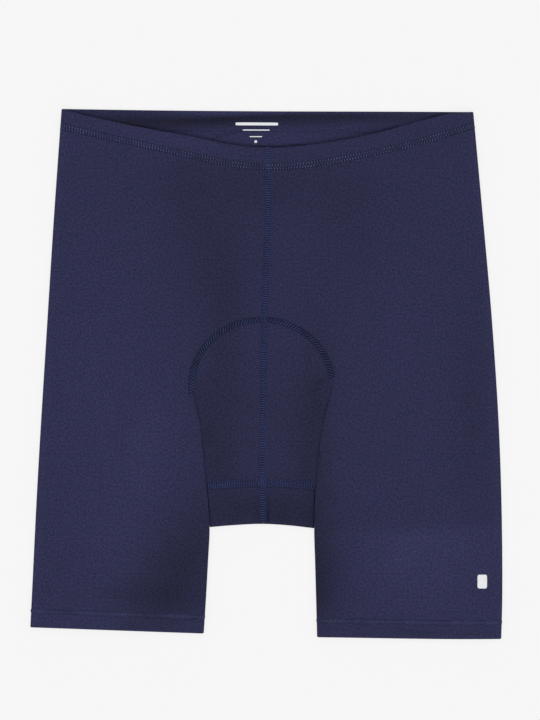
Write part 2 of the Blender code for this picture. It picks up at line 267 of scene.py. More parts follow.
@dataclass(frozen=True)
class PadOutline:
    """The stitched outline of the hidden pad, part of an ellipse.

    Attributes:
        centre: Its middle in X and Y.
        reach: Its half sizes along X and Y.
        ends: The heights in Y where it goes out of sight, at the wearer's right and left.
    """

    centre: Place = (-4.0, -10.0)
    reach: Place = (63.0, 58.5)
    ends: Place = (-19.0, -3.0)

    def distance(self, x: Array, y: Array) -> Array:
        """Returns the distance outwards from the outline: (radius share - 1) times the mean half size."""
        u, v = (x - self.centre[0]) / self.reach[0], (y - self.centre[1]) / self.reach[1]
        return (np.hypot(u, v) - 1.0) * sum(self.reach) / 2

    def path(self, step: float) -> Array:
        """Returns points (n, 2) along the outline over the top, a step apart."""
        right, left = np.arcsin((self.centre[1] - np.array(self.ends)) / self.reach[1])
        turn = np.linspace(np.pi + right, -left, 721)
        x = self.centre[0] + self.reach[0] * np.cos(turn)
        y = self.centre[1] + self.reach[1] * np.sin(turn)
        return spaced(np.stack([x, y], axis=1), step)


REAR_PAD = PadOutline(centre=(-4.0, -50.0), reach=(56.0, 92.0), ends=(-120.0, -120.0))


def spaced(path: Array, step: float) -> Array:
    """Returns points along a path at equal distances, the nearest to step that divides its length.

    Args:
        path: Points (n, k).
        step: The distance wanted.
    """
    run = np.concatenate([[0.0], np.cumsum(np.linalg.norm(np.diff(path, axis=0), axis=1))])
    count = max(1, round(run[-1] / step))
    at = np.linspace(0.0, run[-1], count + 1)
    return np.stack([np.interp(at, run, path[:, k]) for k in range(path.shape[1])], axis=1)


@dataclass(frozen=True)
class Crease:
    """A soft trough or ridge in the cloth, along a bent line that fades out at both ends.

    Attributes:
        start, bend, end: The ends of its line and the point that it bends towards.
        height: How far it stands up, less than 0 for a trough.
        width: Its half width. Its left side, seen along the line, is wider by the lean.
        lean: From -0.6 to 0.6.
    """

    start: Place
    bend: Place
    end: Place
    height: float
    width: float
    lean: float = 0.25

    def lift(self, x: Array, y: Array) -> Array:
        """Returns the height that it adds at the given places.

        The line is a quadratic curve. The height is a bell across it, from the distance to the nearest of
        its sampled points, times a sine along it.

        Args:
            x, y: The places.
        """
        t = np.linspace(0.0, 1.0, 41)[:, None]
        a, b, c = (np.array(p, float) for p in (self.start, self.bend, self.end))
        line = (1 - t) ** 2 * a + 2 * t * (1 - t) * b + t**2 * c
        along = unit(np.gradient(line, axis=0))
        place = np.stack([x.ravel(), y.ravel()], axis=1)
        reach = 3.2 * self.width
        low, high = line.min(axis=0) - reach, line.max(axis=0) + reach
        near = np.flatnonzero(np.all((place > low) & (place < high), axis=1))
        lift = np.zeros(len(place))
        off = place[near, None, :] - line[None]
        nearest = np.argmin((off**2).sum(axis=2), axis=1)
        off = off[np.arange(len(near)), nearest]
        side = along[nearest, 0] * off[:, 1] - along[nearest, 1] * off[:, 0]
        width = self.width * (1 + self.lean * np.sign(side))
        fade = np.sin(np.pi * (0.02 + 0.96 * t[nearest, 0])) ** 0.8
        lift[near] = self.height * hump(np.linalg.norm(off, axis=1), width) * fade
        return lift.reshape(x.shape)


@dataclass(frozen=True)
class PaintedShadingPatch:
    """A soft oval of painted light or painted shade on the cloth: lighter where the light falls on it,
    darker where shade lies.

    Attributes:
        x, y: Its middle.
        across, along: Its half sizes.
        gain: How much lighter it is in the middle, less than 0 for darker.
        turn: Degrees anticlockwise.
        upper: How much shorter its upper half is, 1 where it is the same.
    """

    x: float
    y: float
    across: float
    along: float
    gain: float
    turn: float = 0.0
    upper: float = 1.0

    def tone(self, x: Array, y: Array) -> Array:
        """Returns the painted light or shade that it adds: gain times exp(-(u squared + v squared))."""
        turn = np.radians(self.turn)
        dx, dy = x - self.x, y - self.y
        u = (dx * np.cos(turn) + dy * np.sin(turn)) / self.across
        v = (dy * np.cos(turn) - dx * np.sin(turn)) / self.along
        v = np.where(v > 0, v * self.upper, v)
        return self.gain * np.exp(-(u * u + v * v))


# a trough or ridge a row: its start, the point it bends towards, its end, height and width
FRONT_CREASES = (
    Crease((-176, 150), (-150, 60), (-166, -40), 0.35, 13.0),
    Crease((-98, 168), (-112, 90), (-96, 10), -0.30, 15.0),
    Crease((-142, -20), (-128, -100), (-146, -186), 0.40, 16.0),
    Crease((-88, -70), (-100, -130), (-84, -196), -0.35, 10.0),
    Crease((-188, -60), (-180, -120), (-192, -176), -0.28, 9.0),
    Crease((-148, -196), (-122, -186), (-98, -194), -0.30, 6.5),
    Crease((96, 172), (118, 90), (104, 0), -0.28, 14.0),
    Crease((150, 150), (168, 40), (152, -60), 0.34, 14.0),
    Crease((196, -70), (186, -110), (190, -136), -0.30, 8.0),
    Crease((84, -60), (98, -120), (86, -190), -0.30, 11.0),
    Crease((92, -136), (136, -128), (190, -138), 0.36, 8.0),
    Crease((112, -176), (140, -190), (176, -182), 0.22, 10.0),
    Crease((-52, 150), (-36, 110), (-44, 60), -0.30, 13.0),
    Crease((24, 160), (40, 110), (26, 58), 0.16, 12.0),
    Crease((42, 2), (50, -12), (47, -30), -0.50, 2.6),
    Crease((34, -2), (45, -16), (43, -36), 0.28, 3.0),
    Crease((-61, -30), (-52, -50), (-50, -84), -0.22, 3.4),
    Crease((-44, -108), (-28, -112), (-10, -108), -0.20, 4.0),
    Crease((8, -110), (22, -114), (38, -108), 0.14, 4.0),
    Crease((-120, 196), (-108, 176), (-112, 150), -0.22, 5.0),
    Crease((62, 186), (58, 170), (66, 148), -0.18, 4.5),
    Crease((130, 200), (136, 180), (128, 160), 0.18, 5.0),
)

BACK_CREASES = (
    Crease((-170, 150), (-150, 40), (-168, -60), 0.30, 12.0),
    Crease((-90, 130), (-104, 40), (-86, -60), 0.25, 11.0),
    Crease((120, 140), (104, 30), (122, -70), 0.30, 12.0),
    Crease((-128, -60), (-116, -130), (-132, -190), 0.25, 11.0),
    Crease((140, -60), (150, -130), (136, -200), 0.25, 11.0),
)

# painted light and shade on the front: its light and dark places as the studio's light falls on it
PAINTED_SHADING_PATCHES = (
    # the wearer's right leg
    PaintedShadingPatch(-150, -10, 62, 130, 0.11),
    PaintedShadingPatch(-102, -72, 20, 46, 0.08, -8),
    PaintedShadingPatch(-142, -150, 28, 34, 0.07),
    PaintedShadingPatch(-118, -92, 22, 60, 0.08, -22),
    PaintedShadingPatch(-77, -176, 31, 58, -0.40, -32),
    PaintedShadingPatch(-122, -195, 26, 9, -0.10),
    PaintedShadingPatch(-84, -204, 44, 14, -0.12),
    # the left leg, with a band that starts sharply
    PaintedShadingPatch(118, 44, 26, 50, 0.05),
    PaintedShadingPatch(184, -40, 20, 86, -0.13),
    PaintedShadingPatch(144, -146, 66, 66, 0.27, 3.8, upper=9),
    PaintedShadingPatch(121, -163, 9, 10, 0.10),
    PaintedShadingPatch(38, -176, 30, 44, -0.53),
    PaintedShadingPatch(48, -207, 12, 20, -0.12),
    # both hems
    PaintedShadingPatch(-172, -226, 34, 12, 0.08),
    PaintedShadingPatch(-121, -226, 10, 3, -0.12, -8),
    PaintedShadingPatch(-70, -219.5, 12, 1.4, -0.18),
    PaintedShadingPatch(86, -223.8, 6, 1.5, -0.28),
    PaintedShadingPatch(137, -232.6, 14, 2.0, -0.24, -3),
    PaintedShadingPatch(188, -233.4, 14, 1.5, -0.16),
    PaintedShadingPatch(128, -229, 62, 7, -0.12),
    # the front above the pad
    PaintedShadingPatch(10, 120, 210, 110, -0.05),
    PaintedShadingPatch(-42, 70, 24, 60, -0.05),
    PaintedShadingPatch(-76, 150, 20, 56, -0.07),
    PaintedShadingPatch(-44, 112, 34, 56, -0.12),
    PaintedShadingPatch(0, 172, 104, 26, -0.14),
    PaintedShadingPatch(74, 130, 30, 48, -0.09),
    PaintedShadingPatch(150, 214, 60, 15, -0.06),
    PaintedShadingPatch(-72, 207, 58, 8, 0.16, -12),
    # round the pad and beside the folds at the crotch
    PaintedShadingPatch(-37, 20, 17, 66, -0.16),
    PaintedShadingPatch(42, 4, 18, 60, -0.13),
    PaintedShadingPatch(2, -52, 58, 62, -0.14),
    PaintedShadingPatch(46, -84, 12, 40, -0.17),
    PaintedShadingPatch(-40, -80, 12, 26, -0.12),
    PaintedShadingPatch(-52, -56, 5.0, 9, -0.30, -10),
    PaintedShadingPatch(48.5, -6.5, 5.5, 1.7, -0.32, 24),
    PaintedShadingPatch(44, -14, 7.5, 1.9, -0.20, 38),
    PaintedShadingPatch(-47, -6, 6.5, 2.2, -0.16, -48),
    PaintedShadingPatch(48, -34, 6, 14, -0.12, 12),
    PaintedShadingPatch(-3.6, -62, 3.0, 44, 0.34),
    PaintedShadingPatch(36, -90, 9, 6, -0.12),
    PaintedShadingPatch(-51.9, -114, 1.7, 20, 0.28, 3),
    # the lower centre
    PaintedShadingPatch(0, -126, 50, 14, -0.06),
    PaintedShadingPatch(0, -122, 52, 22, -0.27),
)


@dataclass(frozen=True)
class SewnRelief:
    """How the sewing draws the cloth in.

    Attributes:
        groove: Depth of the groove under a cover stitch.
        pucker: Height of the small waves beside it.
        pucker_step: Their length.
        seam_ridge: How far the flat seams stand up, over their two layers.
        seam_half: Their half width.
        pad_swell: How far the cloth stands up over the pad's edge.
        hem_ridge: How far it stands up between the hem's two rows.
    """

    groove: float = 0.34
    pucker: float = 0.12
    pucker_step: float = 8.2
    seam_ridge: float = 0.22
    seam_half: float = 3.6
    pad_swell: float = 0.22
    hem_ridge: float = 0.16

    def waves(self, x: Array, seed: float) -> Array:
        """Returns uneven waves along x: three sines whose lengths are near the pucker's step."""
        k = 2 * np.pi / self.pucker_step
        return (
            np.sin(k * x + seed)
            + 0.6 * np.sin(0.63 * k * x + 2.1 * seed)
            + 0.5 * np.sin(1.31 * k * x + 0.7 * seed)
        ) / 1.6

    def waist(self, x: Array, distance: Array) -> Array:
        """Returns the height along the casing's stitches: two grooves, with uneven waves on both sides.

        Args:
            x: The places.
            distance: Distances above the seam.
        """
        grooves = hump(distance - COVER_HALF, 0.9) + hump(distance + COVER_HALF, 0.9)
        return self.pucker * self.waves(x, 0.4) * hump(distance, 7.0) - self.groove * grooves

    def pad(self, x: Array, y: Array, distance: Array) -> Array:
        """Returns the height by the pad: a groove on its outline, a swell inside, and small waves.

        Groove and swell fade out under the places where the outline goes out of sight.

        Args:
            x, y: The places.
            distance: Distances outwards from the outline.
        """
        groove, swell = 1.25 * self.groove * hump(distance, 1.7), self.pad_swell * hump(distance + 6.0, 4.0)
        return ease((y + 30) / 20) * (swell - groove) + 0.05 * self.waves(y + x, 1.9) * hump(distance, 5.0)

    def hem(self, x: Array, above: Array) -> Array:
        """Returns the height by a hem: a groove under each row, a ridge between them, and small waves.

        Args:
            x: The places.
            above: Distances above the hem.
        """
        grooves = sum(hump(above - place, 0.75) for place in HEM_ROWS)
        ridge_highlight = self.hem_ridge * hump(above - HEM_MIDDLE, 1.1)
        return ridge_highlight + 0.07 * self.waves(x, 2.6) * hump(above - 17.0, 5.0) - 0.8 * self.groove * grooves

    def flat_seam(self, distance: Array) -> Array:
        """Returns the ridge of a flat seam: level over its width, with a faint trough in the middle."""
        edge = ease((self.seam_half + 0.6 - np.abs(distance)) / 1.2)
        return self.seam_ridge * (edge - 0.6 * hump(distance, 0.9))


# painted shade of small creases where the cloth is pinched by the crotch's seams and the pad, and of one
# inside the back
PINCH_SHADES = (
    PaintedShadingPatch(0.9, -129, 1.7, 8, 1.15),
    PaintedShadingPatch(1.8, -114, 1.2, 8, 0.40),
    PaintedShadingPatch(-7.6, -123, 1.8, 9, 0.40),
    PaintedShadingPatch(-54.5, -50, 2.6, 8, 0.40, -8),
    PaintedShadingPatch(47.6, -72, 0.9, 14, 0.55, 4),
    PaintedShadingPatch(45.4, -100, 0.8, 22, 0.15, 2),
    PaintedShadingPatch(-60.5, -28, 1.0, 9, 0.45, -10),
)
INSIDE_CREASE_SHADE = Crease((-54, 209.5), (-36, 216.0), (-16, 219), 0.40, 1.2)


@dataclass(frozen=True)
class InsideBackShading:
    """Painted light and shade on the inside of the back, where it shows in the waist. Its lines run by X.

    Painted shade lies in a soft fold under the waist edge, and a thin painted shadow of the front's edge
    lies above it.

    Attributes:
        plain: How light its painted shading is away from both.
        fold_depth: How far under the waist edge the fold's painted shade is darkest.
        fold_shade: How much darker the painted shade is there.
        fold_above, fold_below: The fold's half widths towards the waist edge and away from it.
        rim: How much lighter the painted highlight makes the cloth next to the waist edge.
            shadow_line_dark, shadow_line_width: How dark and how wide the painted shadow line by the front's
                edge is.
        darkest: The least that it comes to.
    """

    plain: Line = Line(
        (
            (-184, 0.95), (-141, 0.92), (-123, 0.88), (-96, 1.02), (-42, 1.10), (30, 1.12), (84, 0.98),
            (150, 0.86),
        )
    )
    fold_depth: Line = Line(
        ((-170, 8.0), (-123, 9.6), (-96, 9.6), (-42, 7.4), (-10, 5.4), (30, 4.2), (84, 4.2))
    )
    fold_shade: Line = Line(
        ((-150, 0.20), (-123, 0.42), (-96, 0.60), (-42, 0.78), (30, 0.66), (84, 0.48), (130, 0.16))
    )
    fold_above: Line = Line(((-170, 5.5), (-96, 5.5), (-42, 3.3), (30, 2.3), (150, 1.9)))
    fold_below: Line = Line(((-170, 6.5), (-96, 7.5), (-42, 7.3), (0, 8.0), (30, 9.5), (84, 5.0)))
    rim: Line = Line(((-150, 0.0), (-80, 0.05), (-42, 0.26), (-5, 0.18), (30, 0.0)))
    shadow_line_dark: Line = Line(
        ((-160, 0.15), (-128, 0.6), (-96, 0.42), (-30, 0.5), (-8, 0.74), (22, 0.9), (42, 0.62), (130, 0.24))
    )
    shadow_line_width: Line = Line(((-60, 0.75), (-20, 1.0), (20, 1.35), (46, 0.85), (90, 0.75)))
    darkest: float = 0.12

    def tone(self, x: Array, y: Array) -> Array:
        """Returns the painted light and shade of the inside of the back, never less than the darkest shade.

        Args:
            x, y: The places.
        """
        depth = WAIST_BACK.at(x) - y
        off = depth - self.fold_depth.at(x)
        width = np.where(off < 0, self.fold_above.at(x), self.fold_below.at(x))
        # painted shade in the soft fold under the waist edge
        fold = self.fold_shade.at(x) * hump(off, width)
        # a thin painted shadow of the front's edge, just above it
        line = self.shadow_line_dark.at(x) * hump(y - WAIST_FRONT.at(x) - 0.4, self.shadow_line_width.at(x))
        # a painted highlight next to the waist edge
        light = self.plain.at(x) + self.rim.at(x) * hump(depth - 1.8, 1.3)
        # less the painted shade of the crease inside the back
        return np.maximum(light - fold - line - INSIDE_CREASE_SHADE.lift(x, y), self.darkest)


def front_painted_shading(x: Array, y: Array) -> Array:
    """Returns the front's painted light and shade, 1 where it is plain."""
    return 1.0 + sum(patch.tone(x, y) for patch in PAINTED_SHADING_PATCHES)


def seam_distances(x: Array, y: Array) -> Array:
    """Returns the distances (..., 3) from the centre seam, the casing's seam and the inseam."""
    return np.stack([x - CENTRE_FRONT.at(y), y - BAND_SEAM_FRONT.at(x), y - INSEAM.at(x)], axis=-1)


@dataclass
class Mesh:
    """A surface of quads and other faces, with values at its points.

    Attributes:
        points: (n, 3) in millimetres.
        faces: Index arrays, each (m, corners).
        values: Named values at the points, (n,) or (n, 3).
    """

    points: Array
    faces: list[Index]
    values: dict[str, Array] = field(default_factory=dict)

    def to_object(self, name: str, material: Material) -> Object:
        """Makes a Blender object of it, smooth, with its values as attributes.

        Args:
            name: The object's name.
            material: Its only material.
        """
        mesh = bpy.data.meshes.new(name)
        mesh.from_pydata((self.points * MM).tolist(), [], [f for part in self.faces for f in part.tolist()])
        for key, value in self.values.items():
            kind, item = ("FLOAT", "value") if value.ndim == 1 else ("FLOAT_VECTOR", "vector")
            numbers = value.astype(np.float32).ravel()
            mesh.attributes.new(key, kind, "POINT").data.foreach_set(item, numbers)
        mesh.materials.append(material)
        mesh.shade_smooth()
        mesh.validate()
        obj = bpy.data.objects.new(name, mesh)
        bpy.context.scene.collection.objects.link(obj)
        return obj


def joined(meshes: list[Mesh]) -> Mesh:
    """Returns several meshes as one. All hold the same values."""
    starts = np.cumsum([0] + [len(m.points) for m in meshes[:-1]])
    faces = [part + start for m, start in zip(meshes, starts) for part in m.faces]
    values = {key: np.concatenate([m.values[key] for m in meshes]) for key in meshes[0].values}
    return Mesh(np.concatenate([m.points for m in meshes]), faces, values)


def grid_faces(columns: int, rows: int) -> Index:
    """Returns the quads of a grid whose point index is column times rows plus row."""
    corner = np.arange(columns - 1)[:, None] * rows + np.arange(rows - 1)
    return np.stack([corner, corner + 1, corner + rows + 1, corner + rows], axis=2).reshape(-1, 4)


@dataclass
class Patch:
    """A grid of cloth.

    Attributes:
        points: (columns, rows, 3).
        top: 1 where it lies on top and takes the front's relief, 0 underneath.
        weave: Its place in the flat cloth, (columns, rows, 2).
        wall: Its thickness.
        crease: How deep the points lie in the corner under a fold, from 0 to 1.
    """

    points: Array
    top: Array
    weave: Array
    wall: Array
    crease: Array

    @classmethod
    def of(
        cls, x: Array, y: Array, z: Array, top: Numbers, across: Array, wall: Numbers, crease: Numbers = 0.0
    ) -> "Patch":
        """Returns a patch from its grids, where top, wall and crease may be one value for all of it.

        Args:
            x, y, z: The places.
            top, wall, crease: As the patch's own.
            across: How far they lie across the flat cloth. Down it they lie as y does.
        """
        top, wall, crease = (np.broadcast_to(value, y.shape) for value in (top, wall, crease))
        return cls(np.stack([x, y, z], axis=2), top, np.stack([across, y], axis=2), wall, crease)

    def grids(self) -> tuple[Array, ...]:
        """Returns its five grids."""
        return self.points, self.top, self.weave, self.wall, self.crease

    def part(self, columns: slice | list[int], rows: slice = slice(None)) -> "Patch":
        """Returns some of its columns and rows as a patch of their own."""
        return Patch(*(grid[columns, rows] for grid in self.grids()))

    def after(self, other: "Patch") -> "Patch":
        """Returns a patch of the other's columns and then these."""
        return Patch(*(np.concatenate(pair) for pair in zip(other.grids(), self.grids())))


@dataclass(frozen=True)
class Rows:
    """The rows of a leg panel: the zone that each lies in, and its share of the way down it.

    The zones run between the waistband seam, the inseam, the bend over the crotch, the start of the leg's
    tube, both sides of the hem's step, and the hem.
    """

    zone: Index
    share: Array

    @classmethod
    def of(cls, shares: list[Array]) -> "Rows":
        """Returns rows from the shares of each zone. A zone's last share is the next one's first."""
        zone = np.concatenate([np.full(len(s) - 1, i) for i, s in enumerate(shares)])
        share = np.concatenate([s[:-1] for s in shares])
        return cls(np.append(zone, len(shares) - 1), np.append(share, 1.0))

    def until(self, row: int) -> "Rows":
        """Returns the rows down to one of them."""
        return Rows(self.zone[: row + 1], self.share[: row + 1])


@dataclass
class LegPanel:
    """One leg of the shorts, cut in one piece from the centre front round the side to the centre back.

    Attributes:
        side: The wearer's side.
        relief: How the sewing draws it in.
        pad: The outline of the pad.
        wall, hem_wall: Thickness of the cloth and of the turned hem.
        seam_gap: Between two edges that are sewn together, and back_gap at the centre back, whose seam is
            seen from inside through the waist.
        band_gap: Between the panel and the waistband, less than 0 where the panel runs in under it.
        hem_depth, hem_step: Depth of the hem and the stretch in which it thickens.
        hem_round, rim_round: How far the hem's fold and the other edges bulge past their last rows.
        lift: Height of the underside, which leaves room for the threads under it.
        notch: How far under the crotch edge the leg's own tube starts.
        inseam_tail: Width of the strip under the leg's inner fold, up to the inner leg seam.
        flap_gap: Between the leg's inner fold and the flap that comes up between the legs.
        flat_roll: How far the front runs on level, where the leg has no fold.
        hem_painted_light, side_painted_light: How much lighter the painted highlight makes the cloth on the
            hem and by the side folds.
        turn_painted_shade: How much darker the painted shade is where it turns down at the outline.
        unevenness: Height of the broad faint waves all over the front.
        roll_steps, top_steps, side_steps, back_steps, centre_steps, flap_steps, bend_steps: Faces across
            the inner fold, the leg's top, its side, its back, the front's middle, the flap, and its bend.
        flap_rows: Faces up the flap.
        sections: The heights of the front.
    """

    side: Side
    relief: SewnRelief
    pad: PadOutline
    wall: float = 0.8
    hem_wall: float = 1.8
    seam_gap: float = 0.14
    back_gap: float = 0.02
    band_gap: float = -0.35
    hem_depth: float = 15.0
    hem_step: float = 1.0
    hem_round: float = 0.8
    rim_round: float = 0.06
    lift: float = 0.35
    notch: float = 1.3
    inseam_tail: float = 0.6
    flap_gap: float = 0.1
    flat_roll: float = 6.0
    hem_painted_light: float = 0.03
    side_painted_light: float = 0.10
    turn_painted_shade: float = 1.5
    unevenness: float = 0.10
    roll_steps: int = 12
    top_steps: int = 74
    side_steps: int = 10
    back_steps: int = 26
    centre_steps: int = 44
    flap_steps: int = 32
    bend_steps: int = 10
    flap_rows: int = 20
    sections: dict[str, Line] = field(default_factory=section_lines)

    def __post_init__(self) -> None:
        """Sets the lines and the rows of this side."""
        self.out = self.side.value
        self.lines = LEG_LINES[self.side]
        # zone by zone down the leg, with the rows close together at seams, hem and the pad's arch
        self.rows = Rows.of(
            [
                crowded(168, (0.0, 0.02, 2.0), (0.56, 0.10, 0.6)),
                crowded(20, (0.0, 0.08, 1.0)),
                np.linspace(0, 1, 5),
                crowded(36, (1.0, 0.08, 3.0)),
                np.linspace(0, 1, 3),
                crowded(12, (0.0, 0.2, 2.0), (1.0, 0.1, 1.0)),
            ]
        )
        zone = self.rows.zone
        self.flap_shares = crowded(self.flap_steps, (1.0, 0.08, 1.6))[:, None]
        self.inseam_row = int(np.argmax(zone == 1))
        self.crotch_row = int(np.argmax(zone == 2))
        self.tube_row = int(np.argmax(zone == 3))

    def section(self, name: str, y: Array) -> Array:
        """Returns one of the heights of the front's section, in Y."""
        return self.sections[name].at(y)

    def fold_x(self, y: Array) -> Array:
        """Returns x of the leg's inner line."""
        return self.lines.inner_fold.at(y)

    def side_edge(self, y: Array) -> Array:
        """Returns x where the cloth starts to turn round the side."""
        return self.lines.side_fold.at(y) - self.out * self.section("side", y) / 2

    def cross_lines(self, x: Array, seam: Line) -> Array:
        """Returns the heights in Y of the seven lines between the zones of rows, at the places x."""
        crotch = CROTCH.at(x)
        hem = self.lines.hem.at(x) + self.hem_round
        depth = self.hem_depth - self.hem_round
        return np.stack(
            [
                seam.at(x) - self.band_gap,
                INSEAM.at(x),
                crotch + CROTCH_TOP / 2,
                crotch - self.notch,
                hem + depth + self.hem_step / 2,
                hem + depth - self.hem_step / 2,
                hem,
            ]
        )

    def settle(
        self, x_of_y: Callable[[Array], Array], seam: Line, rows: Rows, columns: int
    ) -> tuple[Array, Array]:
        """Returns x and y of a patch (columns, rows), where each follows from the other.

        Args:
            x_of_y: Gives x of each column at the heights y.
            seam: The waistband seam that the rows start from.
            rows: The rows.
            columns: The number of columns.
        """
        y = np.zeros((columns, len(rows.zone)))
        index = np.arange(len(rows.zone))
        for _ in range(5):
            lines = self.cross_lines(x_of_y(y), seam)
            y = mix(lines[rows.zone, :, index].T, lines[rows.zone + 1, :, index].T, rows.share)
        return x_of_y(y), y

    def foot_z(self, y: Array, rows: Rows) -> Array:
        """Returns the height of the fold's foot: on the ground where the leg is a tube."""
        return np.where(rows.zone >= 3, 0.0, np.maximum(self.section("foot", y), CROTCH_TOP))

    def walls(self, rows: Rows) -> Array:
        """Returns the thickness of the cloth in each row."""
        return np.where(rows.zone >= 5, self.hem_wall, self.wall)

    def fold_strip(self, rows: Rows) -> tuple[Array, ...]:
        """Returns the inner fold: a half oval from its foot to its crest, flat where open is 1.

        Args:
            rows: The rows to make.

        Returns:
            x, y, the height, how far it lies on top, and its crease.
        """
        turn = np.radians(np.linspace(-90, 90, self.roll_steps + 1))[:, None]
        flat = np.linspace(1, 0, self.roll_steps + 1)[:, None]

        def roll_x(y: Array) -> Array:
            """Returns x of the strip at the heights y."""
            tuck = self.section("tuck", y)
            folded = self.fold_x(y) + self.out * tuck * (1 - np.cos(turn))
            level = self.fold_x(y) + self.out * (tuck - self.flat_roll * flat)
            return mix(folded, level, self.section("open", y))

        x, y = self.settle(roll_x, BAND_SEAM_FRONT, rows, len(turn))
        crest, foot, is_open = self.section("fold", y), self.foot_z(y, rows), self.section("open", y)
        z = mix(mix(foot, crest, (1 + np.sin(turn)) / 2), mix(crest, foot, flat), is_open)
        crease = np.zeros_like(y)
        crease[0] = np.where(rows.zone == 0, 1 - is_open[0], 0)
        return x, y, z, mix((1 + np.sin(turn)) / 2, 1.0, is_open), crease

    def top_strip(self, rows: Rows) -> tuple[Array, ...]:
        """Returns the same of the top: straight from the crest to the side, with a sine hump on it."""
        share = crowded(self.top_steps, (0.0, 0.02, 0.8))[1:, None]

        def top_x(y: Array) -> Array:
            """Returns x of the strip at the heights y."""
            return mix(self.fold_x(y) + self.out * self.section("tuck", y), self.side_edge(y), share)

        x, y = self.settle(top_x, BAND_SEAM_FRONT, rows, len(share))
        z = mix(self.section("fold", y), self.section("side", y), share)
        return x, y, z + self.section("puff", y) * np.sin(np.pi * share), np.ones_like(y), np.zeros_like(y)

    def side_strip(self, rows: Rows) -> tuple[Array, ...]:
        """Returns the same of the side, a half circle. Its upper half follows the front's seam."""
        turn = np.radians(np.linspace(90, -90, self.side_steps + 1))[1:, None]

        def side_x(y: Array) -> Array:
            """Returns x of the strip at the heights y."""
            return self.side_edge(y) + self.out * self.section("side", y) / 2 * np.cos(turn)

        seams = (BAND_SEAM_FRONT, BAND_SEAM_BACK)
        upper, lower = (self.settle(side_x, seam, rows, len(turn)) for seam in seams)
        x, y = np.where(turn >= 0, upper, lower)
        top = np.broadcast_to((1 + np.sin(turn)) / 2, y.shape)
        return x, y, self.section("side", y) / 2 * (1 + np.sin(turn)), top, np.zeros_like(y)

    def back_strip(self, rows: Rows) -> tuple[Array, ...]:
        """Returns the same of the back, which lies level."""
        share = np.linspace(0, 1, self.back_steps + 1)[1:, None]

        def back_x(y: Array) -> Array:
            """Returns x of the strip at the heights y."""
            inner = self.fold_x(y) + self.out * (self.section("tuck", y) + self.inseam_tail + self.seam_gap)
            return mix(self.side_edge(y), inner, share)

        x, y = self.settle(back_x, BAND_SEAM_BACK, rows, len(share))
        return x, y, *np.zeros((3, *y.shape))

    def tube(self, rows: Rows) -> Patch:
        """Returns the leg from the foot of its inner fold over the top, round the side and under.

        Args:
            rows: The rows to make.
        """
        strips = [self.fold_strip(rows), self.top_strip(rows), self.side_strip(rows), self.back_strip(rows)]
        x, y, z, top, crease = (np.concatenate(grids) for grids in zip(*strips))
        step = np.linalg.norm(np.diff(np.stack([x, z], axis=2), axis=0), axis=2)
        across = np.concatenate([np.zeros((1, len(rows.zone))), np.cumsum(step, axis=0)])
        return Patch.of(x, y, z, top, across, self.walls(rows), crease)

    def front_centre(self, foot: Patch) -> Patch:
        """Returns the front from its centre seam to the foot of the leg fold, down to the inseam.

        Its height goes from the centre's to the foot's with the square of the share across.

        Args:
            foot: The tube's first column, down to the inseam.
        """
        rows = self.rows.until(self.inseam_row)
        share = crowded(self.centre_steps, (0.0, 0.09, 1.6), (1.0, 0.05, 0.6))[:-1, None]

        def foot_x(y: Array) -> Array:
            """Returns x of the fold's foot at the heights y."""
            return np.interp(y, foot.points[0, ::-1, 1], foot.points[0, ::-1, 0])

        def centre_x(y: Array) -> Array:
            """Returns x of the patch at the heights y."""
            return mix(CENTRE_FRONT.at(y) + self.out * self.seam_gap / 2, foot_x(y), share)

        x, y = self.settle(centre_x, BAND_SEAM_FRONT, rows, len(share))
        z = mix(self.section("centre", y), np.maximum(self.section("foot", y), CROTCH_TOP), share**2)
        top = 1 - (1 - foot.top) * share**4
        return foot.after(Patch.of(x, y, z, top, -self.out * (foot_x(y) - x), self.wall))

    def back_centre(self, inner: Patch) -> Patch:
        """Returns the back from the leg's inner line to the centre back seam, down to the crotch bend.

        Args:
            inner: The tube's last column, down to the crotch bend.
        """
        rows = self.rows.until(self.crotch_row)
        share = self.flap_shares

        def centre_x(y: Array) -> Array:
            """Returns x of the patch at the heights y."""
            flap_side = self.fold_x(y) - self.out * self.flap_gap
            return mix(flap_side, CENTRE_BACK.at(y) + self.out * self.back_gap / 2, share)

        x, y = self.settle(centre_x, BAND_SEAM_BACK, rows, len(share))
        across = inner.weave[..., 0] + np.abs(x - inner.points[..., 0])
        return Patch.of(x, y, np.zeros_like(y), 0.0, across, self.wall).after(inner)

